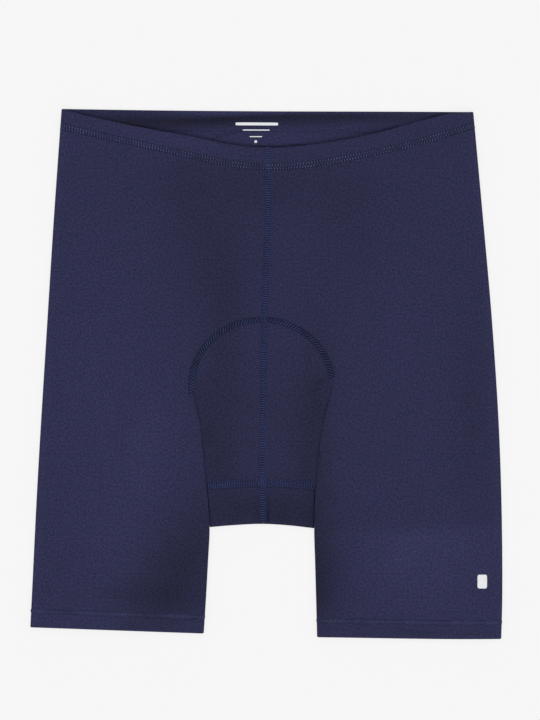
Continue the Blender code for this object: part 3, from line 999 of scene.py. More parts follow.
    def flap(self, back: Patch) -> Patch:
        """Returns the back where it turns up over the crotch edge in a half circle and meets the inseam.

        Args:
            back: The back centre without its first column.
        """
        radius = CROTCH_TOP / 2
        share = self.flap_shares
        start = back.points[:, -1:, :]
        turn = np.radians(np.linspace(0, 180, self.bend_steps + 1))[None]
        rise = crowded(self.flap_rows, (1.0, 0.1, 1.2))[None, 1:]
        end = INSEAM.at(start[..., 0]) - self.seam_gap
        crown = mix(self.section("centre", end), CROTCH_TOP, (1 - share) ** 2)
        y = np.concatenate([start[..., 1] - radius * np.sin(turn), mix(start[..., 1], end, rise)], axis=1)
        low = np.broadcast_to(radius * (1 - np.cos(turn)), (len(share), turn.size))
        z = np.concatenate([low, mix(CROTCH_TOP, crown, rise)], axis=1)
        flap_side = self.fold_x(y) - self.out * self.flap_gap
        x = mix(flap_side, CENTRE_FRONT.at(y) + self.out * self.seam_gap / 2, share)
        points = np.stack([x, y, z], axis=2)
        points[:, :1] = start
        step = np.linalg.norm(np.diff(points[..., 1:], axis=1), axis=2)
        down = np.concatenate([np.zeros((len(share), 1)), np.cumsum(step, axis=1)], axis=1)
        weave = np.stack(np.broadcast_arrays(back.weave[:, -1:, 0], back.weave[:, -1:, 1] - down), axis=2)
        top = np.concatenate([(1 - np.cos(turn)) / 2, np.ones_like(rise)], axis=1)
        return Patch(points, np.broadcast_to(top, y.shape), weave, np.full_like(y, self.wall), 0 * y)

    def tail(self, foot: Patch) -> Patch:
        """Returns the narrow strip that lies flat under the leg's inner fold, up to the inner leg seam."""
        moved = foot.points + [self.out * self.inseam_tail, 0, 0]
        return foot.after(Patch(moved, *foot.grids()[1:]))

    def relief_at(self, x: Array, y: Array, top: Array) -> Array:
        """Returns the height that folds and sewing add, on top and, upwards only, underneath.

        Args:
            x, y: The places.
            top: 1 on the front, 0 underneath.
        """
        sewn = self.relief
        front, back = (sum(crease.lift(x, y) for crease in some) for some in (FRONT_CREASES, BACK_CREASES))
        drift = np.sin(x / 23 + 0.7 * np.sin(y / 41)) * np.sin(y / 37 + 1.3)
        front = front + self.unevenness * drift
        centre, waist, inseam = np.moveaxis(seam_distances(x, y), -1, 0)
        front = front + sewn.waist(x, waist) + sewn.pad(x, y, self.pad.distance(x, y))
        front = front + sewn.flat_seam(centre) + sewn.flat_seam(inseam) * self.within(x, y)
        front = front + sewn.hem(x, y - self.lines.hem.at(x))
        return front * top + np.maximum(back, 0.0) * (1 - top)

    def within(self, x: Array, y: Array) -> Array:
        """Returns 1 between the two legs' inner folds and 0 outside them."""
        return ease(np.abs(self.fold_x(y)) - np.abs(x) + 0.5)

    def values_at(self, x: Array, y: Array, top: Array) -> dict[str, Array]:
        """Returns what the jersey's finish reads at each point.

        They are its painted light and shade, with painted shade where it turns down at the outline, its
        distances from the three seams, and two more sets of three: its distance outwards from the pad's
        outline, its height over the hem and 1 on the front; then 1 where the outline shows, 1 where the
        inseam shows, and the painted shade of the pinches.

        Args:
            x, y: The places.
            top: 1 on the front, 0 underneath.
        """
        hem = y - self.lines.hem.at(x)
        # painted light and shade of the front, with painted highlights on the hem band and by the side folds
        tone = front_painted_shading(x, y) + self.hem_painted_light * ease((HEM_ROWS[0] + 0.3 - hem) / 1.5)
        tone = tone + self.side_painted_light * hump(x - self.side_edge(y), 4.5)
        # painted shade where the cloth turns down at the outline
        by_side, by_crotch = ease((np.abs(x) - 70) / 30), ease((CROTCH.at(x) + 3 - y) / 2)
        turn_shade_weight = np.maximum(np.maximum(by_side, by_crotch), 0.5)
        end = np.where(x < self.pad.centre[0], *self.pad.ends)
        outline = ease((y - end + 3) / 5)
        # painted shade of the small pinched creases
        pinch_shade = np.minimum(sum(patch.tone(x, y) for patch in PINCH_SHADES), 0.95)
        return {
            "tone": mix(1.0, tone, top) - self.turn_painted_shade * turn_shade_weight * top * (1 - top),
            "seams": seam_distances(x, y),
            "edges": np.stack([self.pad.distance(x, y), hem, top], axis=-1),
            "shown": np.stack([outline, self.within(x, y), pinch_shade], axis=-1),
        }

    def surface(self) -> tuple[Mesh, Array, Array]:
        """Returns the outer face of the cloth, its walls, and how deep each point lies in a crease.

        The patches share their edge points, which are found by their rounded places.
        """
        tube = self.tube(self.rows)
        back = self.back_centre(tube.part([-1], slice(self.crotch_row + 1)))
        patches = [
            tube,
            self.front_centre(tube.part([0], slice(self.inseam_row + 1))),
            back,
            self.flap(back.part(slice(1, None))),
            self.tail(tube.part([0], slice(self.tube_row, None))),
        ]
        starts = np.cumsum([0] + [patch.top.size for patch in patches[:-1]])
        quads = np.concatenate([grid_faces(*p.top.shape) + start for p, start in zip(patches, starts)])
        points, top, weave, wall, crease = (
            np.concatenate([grid.reshape(-1, *grid.shape[2:]) for grid in grids])
            for grids in zip(*(patch.grids() for patch in patches))
        )
        _, first, index = np.unique(np.round(points, 3), axis=0, return_index=True, return_inverse=True)
        x, y, z = points[first].T
        top, wall, crease = top[first], wall[first], crease[first]
        points = np.stack([x, y, lifted(z, self.lift) + self.relief_at(x, y, top)], axis=1)
        values = self.values_at(x, y, top) | {"weave": np.column_stack([weave[first], np.zeros(len(first))])}
        quads = quads if self.out > 0 else quads[:, ::-1]
        return Mesh(points, [index.ravel()[quads]], values), wall, crease

    def build(self, name: str, material: Material) -> Object:
        """Makes the panel as a closed wall of cloth.

        Args:
            name: The object's name.
            material: The jersey.
        """
        mesh, wall, crease = self.surface()
        lean = np.stack([-self.out * crease, np.zeros_like(crease), np.ones_like(crease)], axis=1)
        bulge = np.where(wall > self.wall + 0.1, self.hem_round, self.rim_round)
        cloth = thickened(mesh, wall, lean, crease > 0, bulge)
        x, y, z = mesh.points.T
        inner = slice(len(x), 2 * len(x))
        # the low inner face takes the painted light and shade of the inside of the back
        tone = cloth.values["tone"]
        tone[inner] = np.where(z < 1.0, InsideBackShading().tone(x, y), tone[inner])
        return cloth.to_object(name, material)


def point_normals(points: Array, quads: Index) -> Array:
    """Returns the normals at the points: the sum of the crossed diagonals of the quads there."""
    a, b, c, d = (points[quads[:, k]] for k in range(4))
    cross = np.cross(c - a, d - b)
    total = np.zeros_like(points)
    for k in range(4):
        np.add.at(total, quads[:, k], cross)
    return unit(total)


def thickened(outer: Mesh, wall: Array, lean: Array, leans: Array, bulge: Array, steps: int = 4) -> Mesh:
    """Returns a closed wall of cloth from its outer face, with an inner face and rounded rims.

    The inner point lies the wall's thickness under the outer one, against its normal. A rim is a half
    oval between the two: their middle, plus the half wall times the cosine, plus the bulge times the sine.

    Args:
        outer: The outer face, in quads.
        wall: The thickness at each point.
        lean: The direction used instead of the normal, where leans is true.
        leans: Which points lie in the corner under a fold.
        bulge: How far the rim stands out.
        steps: The faces across a rim.
    """
    quads = outer.faces[0]
    up = point_normals(outer.points, quads)
    up = np.where(leans[:, None], unit(lean), up)
    inner = outer.points - up * wall[:, None]
    count = len(outer.points)
    edges = np.concatenate([quads[:, [k, (k + 1) % 4]] for k in range(4)])
    key = np.sort(edges, axis=1) @ np.array([count, 1])
    _, where, times = np.unique(key, return_index=True, return_counts=True)
    rim = edges[where[times == 1]]
    ahead = outer.points[rim[:, 1]] - outer.points[rim[:, 0]]
    away = np.zeros_like(outer.points)
    for k in (0, 1):
        np.add.at(away, rim[:, k], np.cross(ahead, up[rim[:, k]]))
    used = np.unique(rim)
    away = unit(away[used])
    turn = np.linspace(0, np.pi, steps + 1)[1:-1, None, None]
    middle = (outer.points[used] + inner[used]) / 2
    half = (outer.points[used] - inner[used]) / 2
    arcs = middle + half * np.cos(turn) + away * bulge[used][:, None] * np.sin(turn)
    number = np.zeros(count, int)
    number[used] = np.arange(len(used))
    rings = [rim] + [2 * count + k * len(used) + number[rim] for k in range(steps - 1)] + [rim + count]
    strips = [
        np.stack([near[:, 1], near[:, 0], far[:, 0], far[:, 1]], axis=1)
        for near, far in zip(rings, rings[1:])
    ]
    points = np.concatenate([outer.points, inner, arcs.reshape(-1, 3)])
    values = {
        key: np.concatenate([value, value] + [value[used]] * (steps - 1))
        for key, value in outer.values.items()
    }
    return Mesh(points, [quads, quads[:, ::-1] + count] + strips, values)


@dataclass
class FrontSurface:
    """Reads the height of the leg panels at any place on the front."""

    panels: dict[Side, LegPanel]

    def front(self, x: Array, y: Array, relief: bool = True) -> Array:
        """Returns the height of the front: the same sections as the panels'.

        Args:
            x, y: The places.
            relief: Adds what folds and sewing add.
        """
        z = np.zeros_like(x)
        for side, panel in self.panels.items():
            mine = (x - CENTRE_FRONT.at(y)) * side.value >= 0
            fold = panel.fold_x(y) + panel.out * panel.section("tuck", y)
            share = (x - fold) / (panel.side_edge(y) - fold)
            high = mix(panel.section("fold", y), panel.section("side", y), np.clip(share, 0, 1))
            high = high + panel.section("puff", y) * np.sin(np.pi * np.clip(share, 0, 1))
            is_open = panel.section("open", y)
            foot = fold - panel.out * mix(0.0, panel.flat_roll, is_open)
            seam = CENTRE_FRONT.at(y)
            across = np.clip((x - seam) / (foot - seam), 0, 1)
            foot_z = np.maximum(panel.section("foot", y), CROTCH_TOP)
            low = mix(panel.section("centre", y), foot_z, across**2)
            ramp = np.clip((x - foot) / np.where(np.abs(fold - foot) > 0.1, fold - foot, 1.0), 0, 1)
            middle = mix(foot_z, panel.section("fold", y), ramp)
            bend = CROTCH.at(x) + CROTCH_TOP / 2
            rise = np.clip((y - bend) / (INSEAM.at(x) - bend), 0, 1)
            crown = mix(panel.section("centre", INSEAM.at(x)), CROTCH_TOP, across**2)
            low = np.where(y < INSEAM.at(x), mix(CROTCH_TOP, crown, rise), low)
            inside = np.abs(x) < np.abs(foot)
            height = np.where(inside, low, np.where(share < 0, middle, high))
            if relief:
                height = lifted(height, panel.lift) + panel.relief_at(x, y, np.ones_like(x))
            z = np.where(mine, height, z)
        return z


@dataclass
class Waistband:
    """The casing of the waist, turned over a flat elastic: one closed ring.

    Attributes:
        relief: How the sewing draws it in.
        surface: The front that it is sewn to.
        depth: From the waist edge to the seam.
        wall: Thickness over the elastic.
        edge_wall: Thickness at the stitches, where there is no elastic.
        rise, centre_rise: Height of the outer face at the sides and at the centre front.
        settles: Distances from the middle between which it comes down.
        lift: Height of the underside.
        edge_lift: How far the front's edge stands up in the middle of the waist.
        edge_round: Depth of the rounded waist edge.
        swell: How far both faces bulge over the elastic.
        front_stations, back_stations, side_stations: Stations across the front, the back and each side.
        face_steps, edge_steps: Faces down each side of the section and over its edge.
    """

    relief: SewnRelief
    surface: FrontSurface
    depth: float = 18.0
    wall: float = 2.1
    edge_wall: float = 1.1
    rise: float = 5.2
    centre_rise: float = 4.1
    settles: Place = (95.0, 40.0)
    lift: float = 0.35
    edge_lift: float = 0.55
    edge_round: float = 1.3
    swell: float = 0.22
    front_stations: int = 200
    back_stations: int = 170
    side_stations: int = 12
    face_steps: int = 16
    edge_steps: int = 8

    def rise_at(self, x: Array) -> Array:
        """Returns the height of the front's outer face, which settles where no back lies under it."""
        outer, inner = self.settles
        return mix(self.centre_rise, self.rise, ease((np.abs(x) - inner) / (outer - inner)))

    def height_at(self, x: Array, depth: Array) -> Array:
        """Returns the height of the front's outer face, which comes down to the leg panels at the seam."""
        seam = self.surface.front(x, BAND_SEAM_FRONT.at(x), relief=False)
        return mix(self.rise_at(x), seam, ease(depth / self.depth))

    def thickness(self, depth: Array) -> Array:
        """Returns the thickness at a depth: full over the elastic, thin at the stitches."""
        return mix(self.wall, self.edge_wall, ease((depth - self.depth + 5.0) / 4.0))

    def profile(self) -> tuple[Array, Array]:
        """Returns the section as depths and insets from the outer face, up the outside and down inside.

        The waist edge is a half oval.
        """
        down = mix(self.edge_round, self.depth, crowded(self.face_steps, (1.0, 0.2, 1.5)))
        turn = np.radians(np.linspace(-90, 90, self.edge_steps + 1))[1:-1]
        half = self.thickness(down[:1]) / 2
        edge = (self.edge_round * (1 - np.cos(turn)), half * (1 + np.sin(turn)))
        depth = np.concatenate([down[::-1], edge[0], down])
        inset = np.concatenate([np.zeros_like(down), edge[1], self.thickness(down)])
        return depth, inset

    def stations(self) -> tuple[Array, Array, Array]:
        """Returns the ring's stations: the share across, the turn round a side, and the way out in X."""
        right = np.radians(90)
        across = np.linspace(0, 1, self.front_stations)
        back = np.linspace(1, 0, self.back_stations)
        down = np.linspace(right, -right, self.side_stations + 1)[1:-1]
        share = np.concatenate([across, np.ones_like(down), back, np.zeros_like(down)])
        turn = np.concatenate(
            [np.full(len(across), right), down, np.full(len(back), -right), down[::-1]]
        )
        way = np.where(share > 0.5, 1.0, -1.0)
        return share, turn, way

    def points(self, share: Array, turn: Array, way: Array, depth: Array, inset: Array) -> Array:
        """Returns points of the band.

        Across, x runs between the two sides' centres, plus the half height less the inset times the cosine
        of the turn. In height it is half the height plus the same times the sine. y lies between the waist
        edge and the seam by depth, and settles with x in a few passes.

        Args:
            share, turn, way: The stations.
            depth, inset: The places in the section, less than 0 to stand proud.
        """
        is_front = ease((1 + np.sin(turn)) / 2)
        y = np.full(np.broadcast(share, depth).shape, 225.0)
        x = mix(-185.0, 185.0, share) + 0 * y
        for _ in range(5):
            half = self.height_at(x, depth) / 2
            low = LEG_LINES[Side.RIGHT].side_fold.at(y) + half
            high = LEG_LINES[Side.LEFT].side_fold.at(y) - half
            x = mix(low, high, share) + way * (half - inset) * np.cos(turn)
            edge = mix(WAIST_BACK.at(x), WAIST_FRONT.at(x), is_front)
            seam = mix(BAND_SEAM_BACK.at(x), BAND_SEAM_FRONT.at(x), is_front)
            y = mix(edge, seam, depth / self.depth)
        z = half + (half - inset) * np.sin(turn)
        return np.stack([x, y, lifted(z, self.lift)], axis=-1)

    def drawn(self, points: Array, turn: Array, depth: Array, inset: Array) -> Array:
        """Returns the points with the relief of elastic and sewing.

        Over the elastic both faces bulge a little, at the stitches they are drawn in, and fine uneven
        waves run along them. In the middle the front's edge stands up and the back's face is hollow.
        """
        x, y = points[..., 0], points[..., 1]
        middle = self.wall / 2
        outside = np.clip((middle - inset) / middle, -1, 1)
        swell = self.swell * np.sin(np.pi * np.clip(depth / (self.depth - 2.5), 0, 1))
        waves = 0.5 * self.relief.pucker * self.relief.waves(x, 2.2) * ease(1 - depth / self.depth)
        is_front, is_back = ease(np.sin(turn)), ease(-np.sin(turn))
        open_part = 1 - ease((np.abs(x + 4) - 60) / 60)
        front = swell * outside + waves + self.relief.waist(x, y - BAND_SEAM_FRONT.at(x))
        front = front + self.relief.flat_seam(x - CENTRE_FRONT.at(y)) * (outside > 0)
        front = front + self.edge_lift * open_part * ease(1 - depth / 9.0)
        hollow = 0.35 * hump(depth - 15.0, 4.0) - 0.5 * hump(depth - 6.5, 3.0)
        moved = points.copy()
        moved[..., 2] += front * is_front + np.maximum(hollow, -0.6) * (inset > middle) * is_back
        return moved

    def front(self, x: Array, y: Array) -> Array:
        """Returns the height of the front band's outer face at the given places."""
        edge, seam = WAIST_FRONT.at(x), BAND_SEAM_FRONT.at(x)
        depth = self.depth * (edge - y) / (edge - seam)
        points = np.stack([x, y, self.height_at(x, depth)], axis=-1)
        return self.drawn(points, np.full_like(x, np.pi / 2), depth, np.zeros_like(x))[..., 2]

    def inside(self, x: Array, depth: Array) -> Array:
        """Returns points on the back band's inner face.

        Args:
            x: Their places across.
            depth: Their depths under the back's waist edge.
        """
        x, depth = np.broadcast_arrays(x, depth)
        low = LEG_LINES[Side.RIGHT].side_fold.at(228.0) + self.rise / 2
        high = LEG_LINES[Side.LEFT].side_fold.at(228.0) - self.rise / 2
        turn = np.full_like(depth, -np.pi / 2)
        inset = self.thickness(depth)
        points = self.points((x - low) / (high - low), turn, np.ones_like(depth), depth, inset)
        return self.drawn(points, turn, depth, inset)

    def painted_shading_at(self, x: Array, y: Array, inset: Array, is_back: Array) -> Array:
        """Returns the casing's painted light and shade.

        Args:
            x, y, inset: The places.
            is_back: 1 at the back.
        """
        inside = is_back * (inset > self.wall / 2)
        return mix(front_painted_shading(x, y), InsideBackShading().tone(x, y), inside)

    def build(self, name: str, material: Material) -> Object:
        """Makes the band.

        Args:
            name: The object's name.
            material: The casing's jersey.
        """
        depth, inset = (a[None] for a in self.profile())
        share, turn, way = (a[:, None] for a in self.stations())
        points = self.points(share, turn, way, depth, inset)
        points = self.drawn(points, turn, depth, inset)
        columns, rows = points.shape[:2]
        index = np.arange(columns * rows).reshape(columns, rows)
        near, far = index, np.roll(index, -1, axis=0)
        quads = np.stack([near, np.roll(near, -1, axis=1), np.roll(far, -1, axis=1), far], axis=2)
        step = np.linalg.norm(points - np.roll(points, 1, axis=0), axis=2)
        step[0] = 0
        weave = np.stack([np.cumsum(step, axis=0), points[..., 1], np.zeros_like(step)], axis=2)
        x, y = points[..., 0], points[..., 1]
        tone = self.painted_shading_at(x, y, inset, ease(-np.sin(turn)))
        far = np.full_like(x, 100.0)
        is_front = np.broadcast_to(ease(np.sin(turn)), x.shape)
        values = {
            "tone": tone.ravel(),
            "weave": weave.reshape(-1, 3),
            "seams": np.stack([far, y - BAND_SEAM_FRONT.at(x), far], axis=2).reshape(-1, 3),
            "edges": np.stack([far, far, is_front], axis=2).reshape(-1, 3),
            "shown": np.zeros((x.size, 3)),
        }
        mesh = Mesh(points.reshape(-1, 3), [quads.reshape(-1, 4)[:, ::-1]], values)
        return mesh.to_object(name, material)

    def line(self, depth: float, step: float) -> tuple[Array, Array]:
        """Returns points on the outer face all round at a depth, a step apart, and the way out there."""
        share, turn, way = (a[:, None] for a in self.stations())
        at = np.full((1, 1), depth)
        none = np.zeros((1, 1))
        inner = self.drawn(self.points(share, turn, way, at, none + 0.4), turn, at, none)
        outer = self.drawn(self.points(share, turn, way, at, none), turn, at, none)
        ring = np.concatenate([outer[:, 0], outer[:, 0] - inner[:, 0]], axis=1)
        ring = spaced(np.concatenate([ring, ring[:1]]), step)
        return ring[:, :3], unit(ring[:, 3:])


@dataclass(frozen=True)
class Thread:
    """How a thread lies in a stitch.

    Attributes:
        radius: Half its thickness.
        rise: How far the middle of a stitch stands up.
        sink: How far its ends go into the cloth.
        sides: Corners of its section.
    """

    radius: float
    rise: float
    sink: float
    sides: int = 5

    def stitches(self, start: Array, end: Array, up: Array) -> Mesh:
        """Returns one closed short length of thread for each stitch.

        Its path is straight from start to end, raised by an arch, and its section a small polygon that
        is thinner at both ends.

        Args:
            start, end, up: (n, 3): where each stitch goes in and out, and the way out of the cloth.
        """
        t = np.array([0.0, 0.16, 0.5, 0.84, 1.0])
        high = np.array([-self.sink, 0.75 * self.rise, self.rise, 0.75 * self.rise, -self.sink])
        thick = self.radius * np.array([0.55, 0.95, 1.08, 0.95, 0.55])
        path = start[:, None] + (end - start)[:, None] * t[:, None] + up[:, None] * high[:, None]
        ahead = unit(end - start)
        side = unit(np.cross(ahead, up))
        above = np.cross(side, ahead)
        turn = np.linspace(0, 2 * np.pi, self.sides, endpoint=False)
        ring = side[:, None] * np.cos(turn)[:, None] + above[:, None] * np.sin(turn)[:, None]
        points = path[:, :, None] + ring[:, None] * thick[:, None, None]
        points[..., 2] = np.maximum(points[..., 2], GROUND_GAP)
        index = np.arange(points[..., 0].size).reshape(points.shape[:3])
        near, far = index[:, :-1], index[:, 1:]
        quads = np.stack([near, far, np.roll(far, -1, axis=2), np.roll(near, -1, axis=2)], axis=3)
        caps = np.concatenate([index[:, 0], index[:, -1, ::-1]])
        return Mesh(points.reshape(-1, 3), [quads.reshape(-1, 4), caps])


@dataclass(frozen=True)
class FlatStitch:
    """The stitches of one kind of flat seam: fine rows along it, and rungs that cross them.

    Attributes:
        rows: How far the fine rows lie to the left of the seam's middle.
        fine: Their thread.
        gap: The share of a fine stitch that is left free at each end.
        cross: The rungs' thread.
        half: Half the width that the rungs cross.
        slant: How far along the seam a rung runs on.
    """

    rows: tuple[float, ...]
    fine: Thread
    gap: float
    cross: Thread
    half: float
    slant: float


CENTRE_STITCH = FlatStitch(
    (-2.9, 0.0, 2.9), Thread(0.24, 0.12, 0.2), 0.25, Thread(0.44, 0.22, 0.1), 2.7, 0.5
)
INSEAM_STITCH = FlatStitch(
    (-2.8, 0.0, 2.8), Thread(0.26, 0.12, 0.2), 0.2, Thread(0.40, 0.18, 0.1), 2.6, 0.7
)
PAD_STITCH = FlatStitch((-2.3, 2.3), Thread(0.17, 0.12, 0.2), 0.15, Thread(0.48, 0.18, 0.3), 2.3, 3.0)


def between(points: Array, up: Array, gap: float) -> tuple[Array, Array, Array]:
    """Returns the starts, ends and ways out of stitches along a row of needle holes.

    Args:
        points: The holes.
        up: The way out at each.
        gap: The share of a stitch left free at each end.
    """
    start, end = points[:-1], points[1:]
    return mix(start, end, gap), mix(end, start, gap), (up[:-1] + up[1:]) / 2


def ways(path: Array) -> tuple[Array, Array]:
    """Returns the ways ahead and to the left along a plane path (n, 2), each of length 1."""
    ahead = unit(np.gradient(path, axis=0))
    return ahead, np.stack([-ahead[:, 1], ahead[:, 0]], axis=1)


@dataclass
class Sewing:
    """All the stitches of the shorts.

    Attributes:
        surface: Gives the height of the legs' front.
        band: The casing.
        waist_step, seam_step, pad_step, hem_step: Length of a stitch in each kind of seam.
    """

    surface: FrontSurface
    band: Waistband
    waist_step: float = 2.54
    seam_step: float = 2.1
    pad_step: float = 2.6
    hem_step: float = 2.16

    def on_front(self, path: Array) -> Array:
        """Returns points (n, 3) on the front of the legs or the band, over the places (n, 2)."""
        x, y = path.T
        z = np.where(y > BAND_SEAM_FRONT.at(x), self.band.front(x, y), self.surface.front(x, y))
        return np.column_stack([path, z])

    def on_back(self, path: Array) -> Array:
        """Returns points (n, 3) on the underside, over the places (n, 2)."""
        x, y = path.T
        panel = self.surface.panels[Side.RIGHT]
        z = panel.lift + panel.relief_at(x, y, np.zeros_like(x))
        return np.column_stack([path, np.where(y > BAND_SEAM_BACK.at(x), self.band.lift, z)])

    def up(self, points: Array, under: bool = False) -> Array:
        """Returns the way out for points that lie level."""
        return np.tile([0.0, 0.0, -1.0 if under else 1.0], (len(points), 1))

    def row(self, path: Array, thread: Thread, gap: float) -> Mesh:
        """Returns a row of stitches on the front along a plane path of needle holes.

        Args:
            path: (n, 2).
            thread: The thread.
            gap: The share of a stitch left free at each end.
        """
        start, end = (self.on_front(places) for places in between(path, path, gap)[:2])
        return thread.stitches(start, end, self.up(start))

    def rungs(self, path: Array, half: float, thread: Thread, slant: float, under: bool = False) -> Mesh:
        """Returns threads that cross a flat seam from side to side.

        Each lies a little off its place and is a little longer or shorter, by sums of sines.

        Args:
            path: (n, 2), the middle of the seam at each rung.
            half: Half the width that they cross.
            thread: The thread.
            slant: How far along the seam a rung runs on.
            under: Lays them on the underside.
        """
        ahead, left = ways(path)
        index = np.arange(len(path))
        uneven = 0.5 * np.sin(1.7 * index + 0.4) + 0.5 * np.sin(0.61 * index * (1 + 0.002 * index))
        path = path + left * (0.22 * uneven)[:, None] + ahead * (0.2 * np.roll(uneven, 3))[:, None]
        reach = (half * (1 + 0.07 * np.roll(uneven, 7)))[:, None]
        cross = left * reach + ahead * slant / 2
        place = self.on_back if under else self.on_front
        start = place(path - cross)
        return thread.stitches(start, place(path + cross), self.up(start, under))

    def flat_seam(self, path: Array, stitch: FlatStitch) -> Mesh:
        """Returns the stitches of a flat seam on the front.

        Args:
            path: (n, 2), its middle at each stitch.
            stitch: The kind of seam.
        """
        left = ways(path)[1]
        rows = [self.row(path + left * place, stitch.fine, stitch.gap) for place in stitch.rows]
        return joined(rows + [self.rungs(path, stitch.half, stitch.cross, stitch.slant)])

    def waist(self) -> Mesh:
        """Returns the cover stitch that holds the casing, all round: two rows of steep stitches."""
        thread = Thread(radius=0.50, rise=0.16, sink=0.3)
        lean = np.array([0.0, 1.9, 0.0])
        rows = []
        band = self.band
        for depth in (band.depth - COVER_HALF, band.depth + COVER_HALF):
            points, up = band.line(depth, self.waist_step)
            if depth > band.depth:
                on_top = up[:, 2] > 0.9
                points[on_top, 2] = self.surface.front(points[on_top, 0], points[on_top, 1])
            start, end, way = between(points, up, 0.38)
            rows.append(thread.stitches(start + lean / 2, end - lean / 2, way))
        return joined(rows)

    def centre_front(self) -> Mesh:
        """Returns the flat seam down the centre front, from the waist edge to the crotch."""
        y = np.arange(203.0, -134.5, -self.seam_step)
        return self.flat_seam(np.column_stack([CENTRE_FRONT.at(y), y]), CENTRE_STITCH)

    def inseam(self) -> Mesh:
        """Returns the flat seam across the lower centre, between the two leg folds."""
        low, high = (LEG_LINES[side].inner_fold.at(-99.0) - 1.5 * side.value for side in Side)
        x = np.linspace(low, high, round((high - low) / self.seam_step))
        return self.flat_seam(np.column_stack([x, INSEAM.at(x)]), INSEAM_STITCH)

    def pad_outline(self) -> Mesh:
        """Returns the cover stitch round the front of the pad."""
        return self.flat_seam(self.surface.panels[Side.RIGHT].pad.path(self.pad_step), PAD_STITCH)

    def underside(self) -> Mesh:
        """Returns the sewing of the hidden back: its centre seam, both leg seams and the pad's outline.

        It lies in the room under the lifted cloth, so its threads are finer.
        """
        thin = Thread(radius=0.14, rise=0.06, sink=0.05)
        y = np.arange(234.0, -133.0, -self.seam_step)
        path = np.column_stack([CENTRE_BACK.at(y), y])
        rows = [self.rungs(path, CENTRE_STITCH.half, thin, CENTRE_STITCH.slant, under=True)]
        for panel in self.surface.panels.values():
            y = np.arange(-141.0, -218.0, -self.seam_step)
            inside = panel.section("tuck", y) + panel.inseam_tail + panel.seam_gap / 2
            path = np.column_stack([panel.fold_x(y) + panel.out * (inside + 1.2), y])
            rows.append(self.rungs(path, 2.0, thin, 0.6, under=True))
        path = REAR_PAD.path(self.pad_step)
        rows.append(self.rungs(path, PAD_STITCH.half, thin, PAD_STITCH.slant, under=True))
        return joined(rows)

    def hem(self, side: Side) -> Mesh:
        """Returns the cover stitch of a hem, all round: two rows in their grooves, and threads across."""
        panel = self.surface.panels[side]
        thread = Thread(radius=0.24, rise=0.12, sink=0.3)
        rows, holes = [], []
        for place in HEM_ROWS:
            patch = panel.tube(self.row_above_hem(panel, place))
            x, y, z = patch.points[:, 0].T
            z = lifted(z, panel.lift) + panel.relief_at(x, y, patch.top[:, 0])
            ring = np.column_stack([x, y, z])
            ahead = np.gradient(ring, axis=0)
            up = unit(np.stack([-ahead[:, 2], 0 * z, ahead[:, 0]], axis=1) * panel.out)
            both = spaced(np.column_stack([ring, up]), self.hem_step)
            both[:, 3:] = unit(both[:, 3:])
            rows.append(thread.stitches(*between(both[:, :3], both[:, 3:], 0.16)))
            holes.append(both)
        count = min(len(row) for row in holes)
        low, high = (row[:count] for row in holes)
        across = Thread(radius=0.38, rise=0.16, sink=0.1)
        rows.append(across.stitches(mix(low, high, 0.06)[:, :3], mix(high, low, 0.06)[:, :3], low[:, 3:]))
        return joined(rows)

    def row_above_hem(self, panel: LegPanel, place: float) -> Rows:
        """Returns the row of a leg panel at a distance above its hem, measured in the middle of the leg."""
        x = panel.out * 130.0
        lines = panel.cross_lines(np.array([x]), BAND_SEAM_FRONT)[:, 0]
        y = float(panel.lines.hem.at(x)) + place
        zone = 5 if y < lines[5] else 3
        return Rows(np.array([zone]), np.array([(y - lines[zone]) / (lines[zone + 1] - lines[zone])]))


def rounded_grid(steps: int, power: float = 7.0) -> Array:
    """Returns a grid (steps + 1, steps + 1, 2) that fills a square with round corners.

    Each point of a plain square grid is drawn in by the larger of its parts over their power mean.
    """
    s, t = np.meshgrid(*[np.linspace(-1, 1, steps + 1)] * 2, indexing="ij")
    far = np.maximum(np.maximum(np.abs(s), np.abs(t)), 1e-9)
    mean = (np.abs(s) ** power + np.abs(t) ** power + 1e-60) ** (1 / power)
    return np.stack([s, t], axis=2) * (far / np.maximum(mean, 1e-9))[..., None]


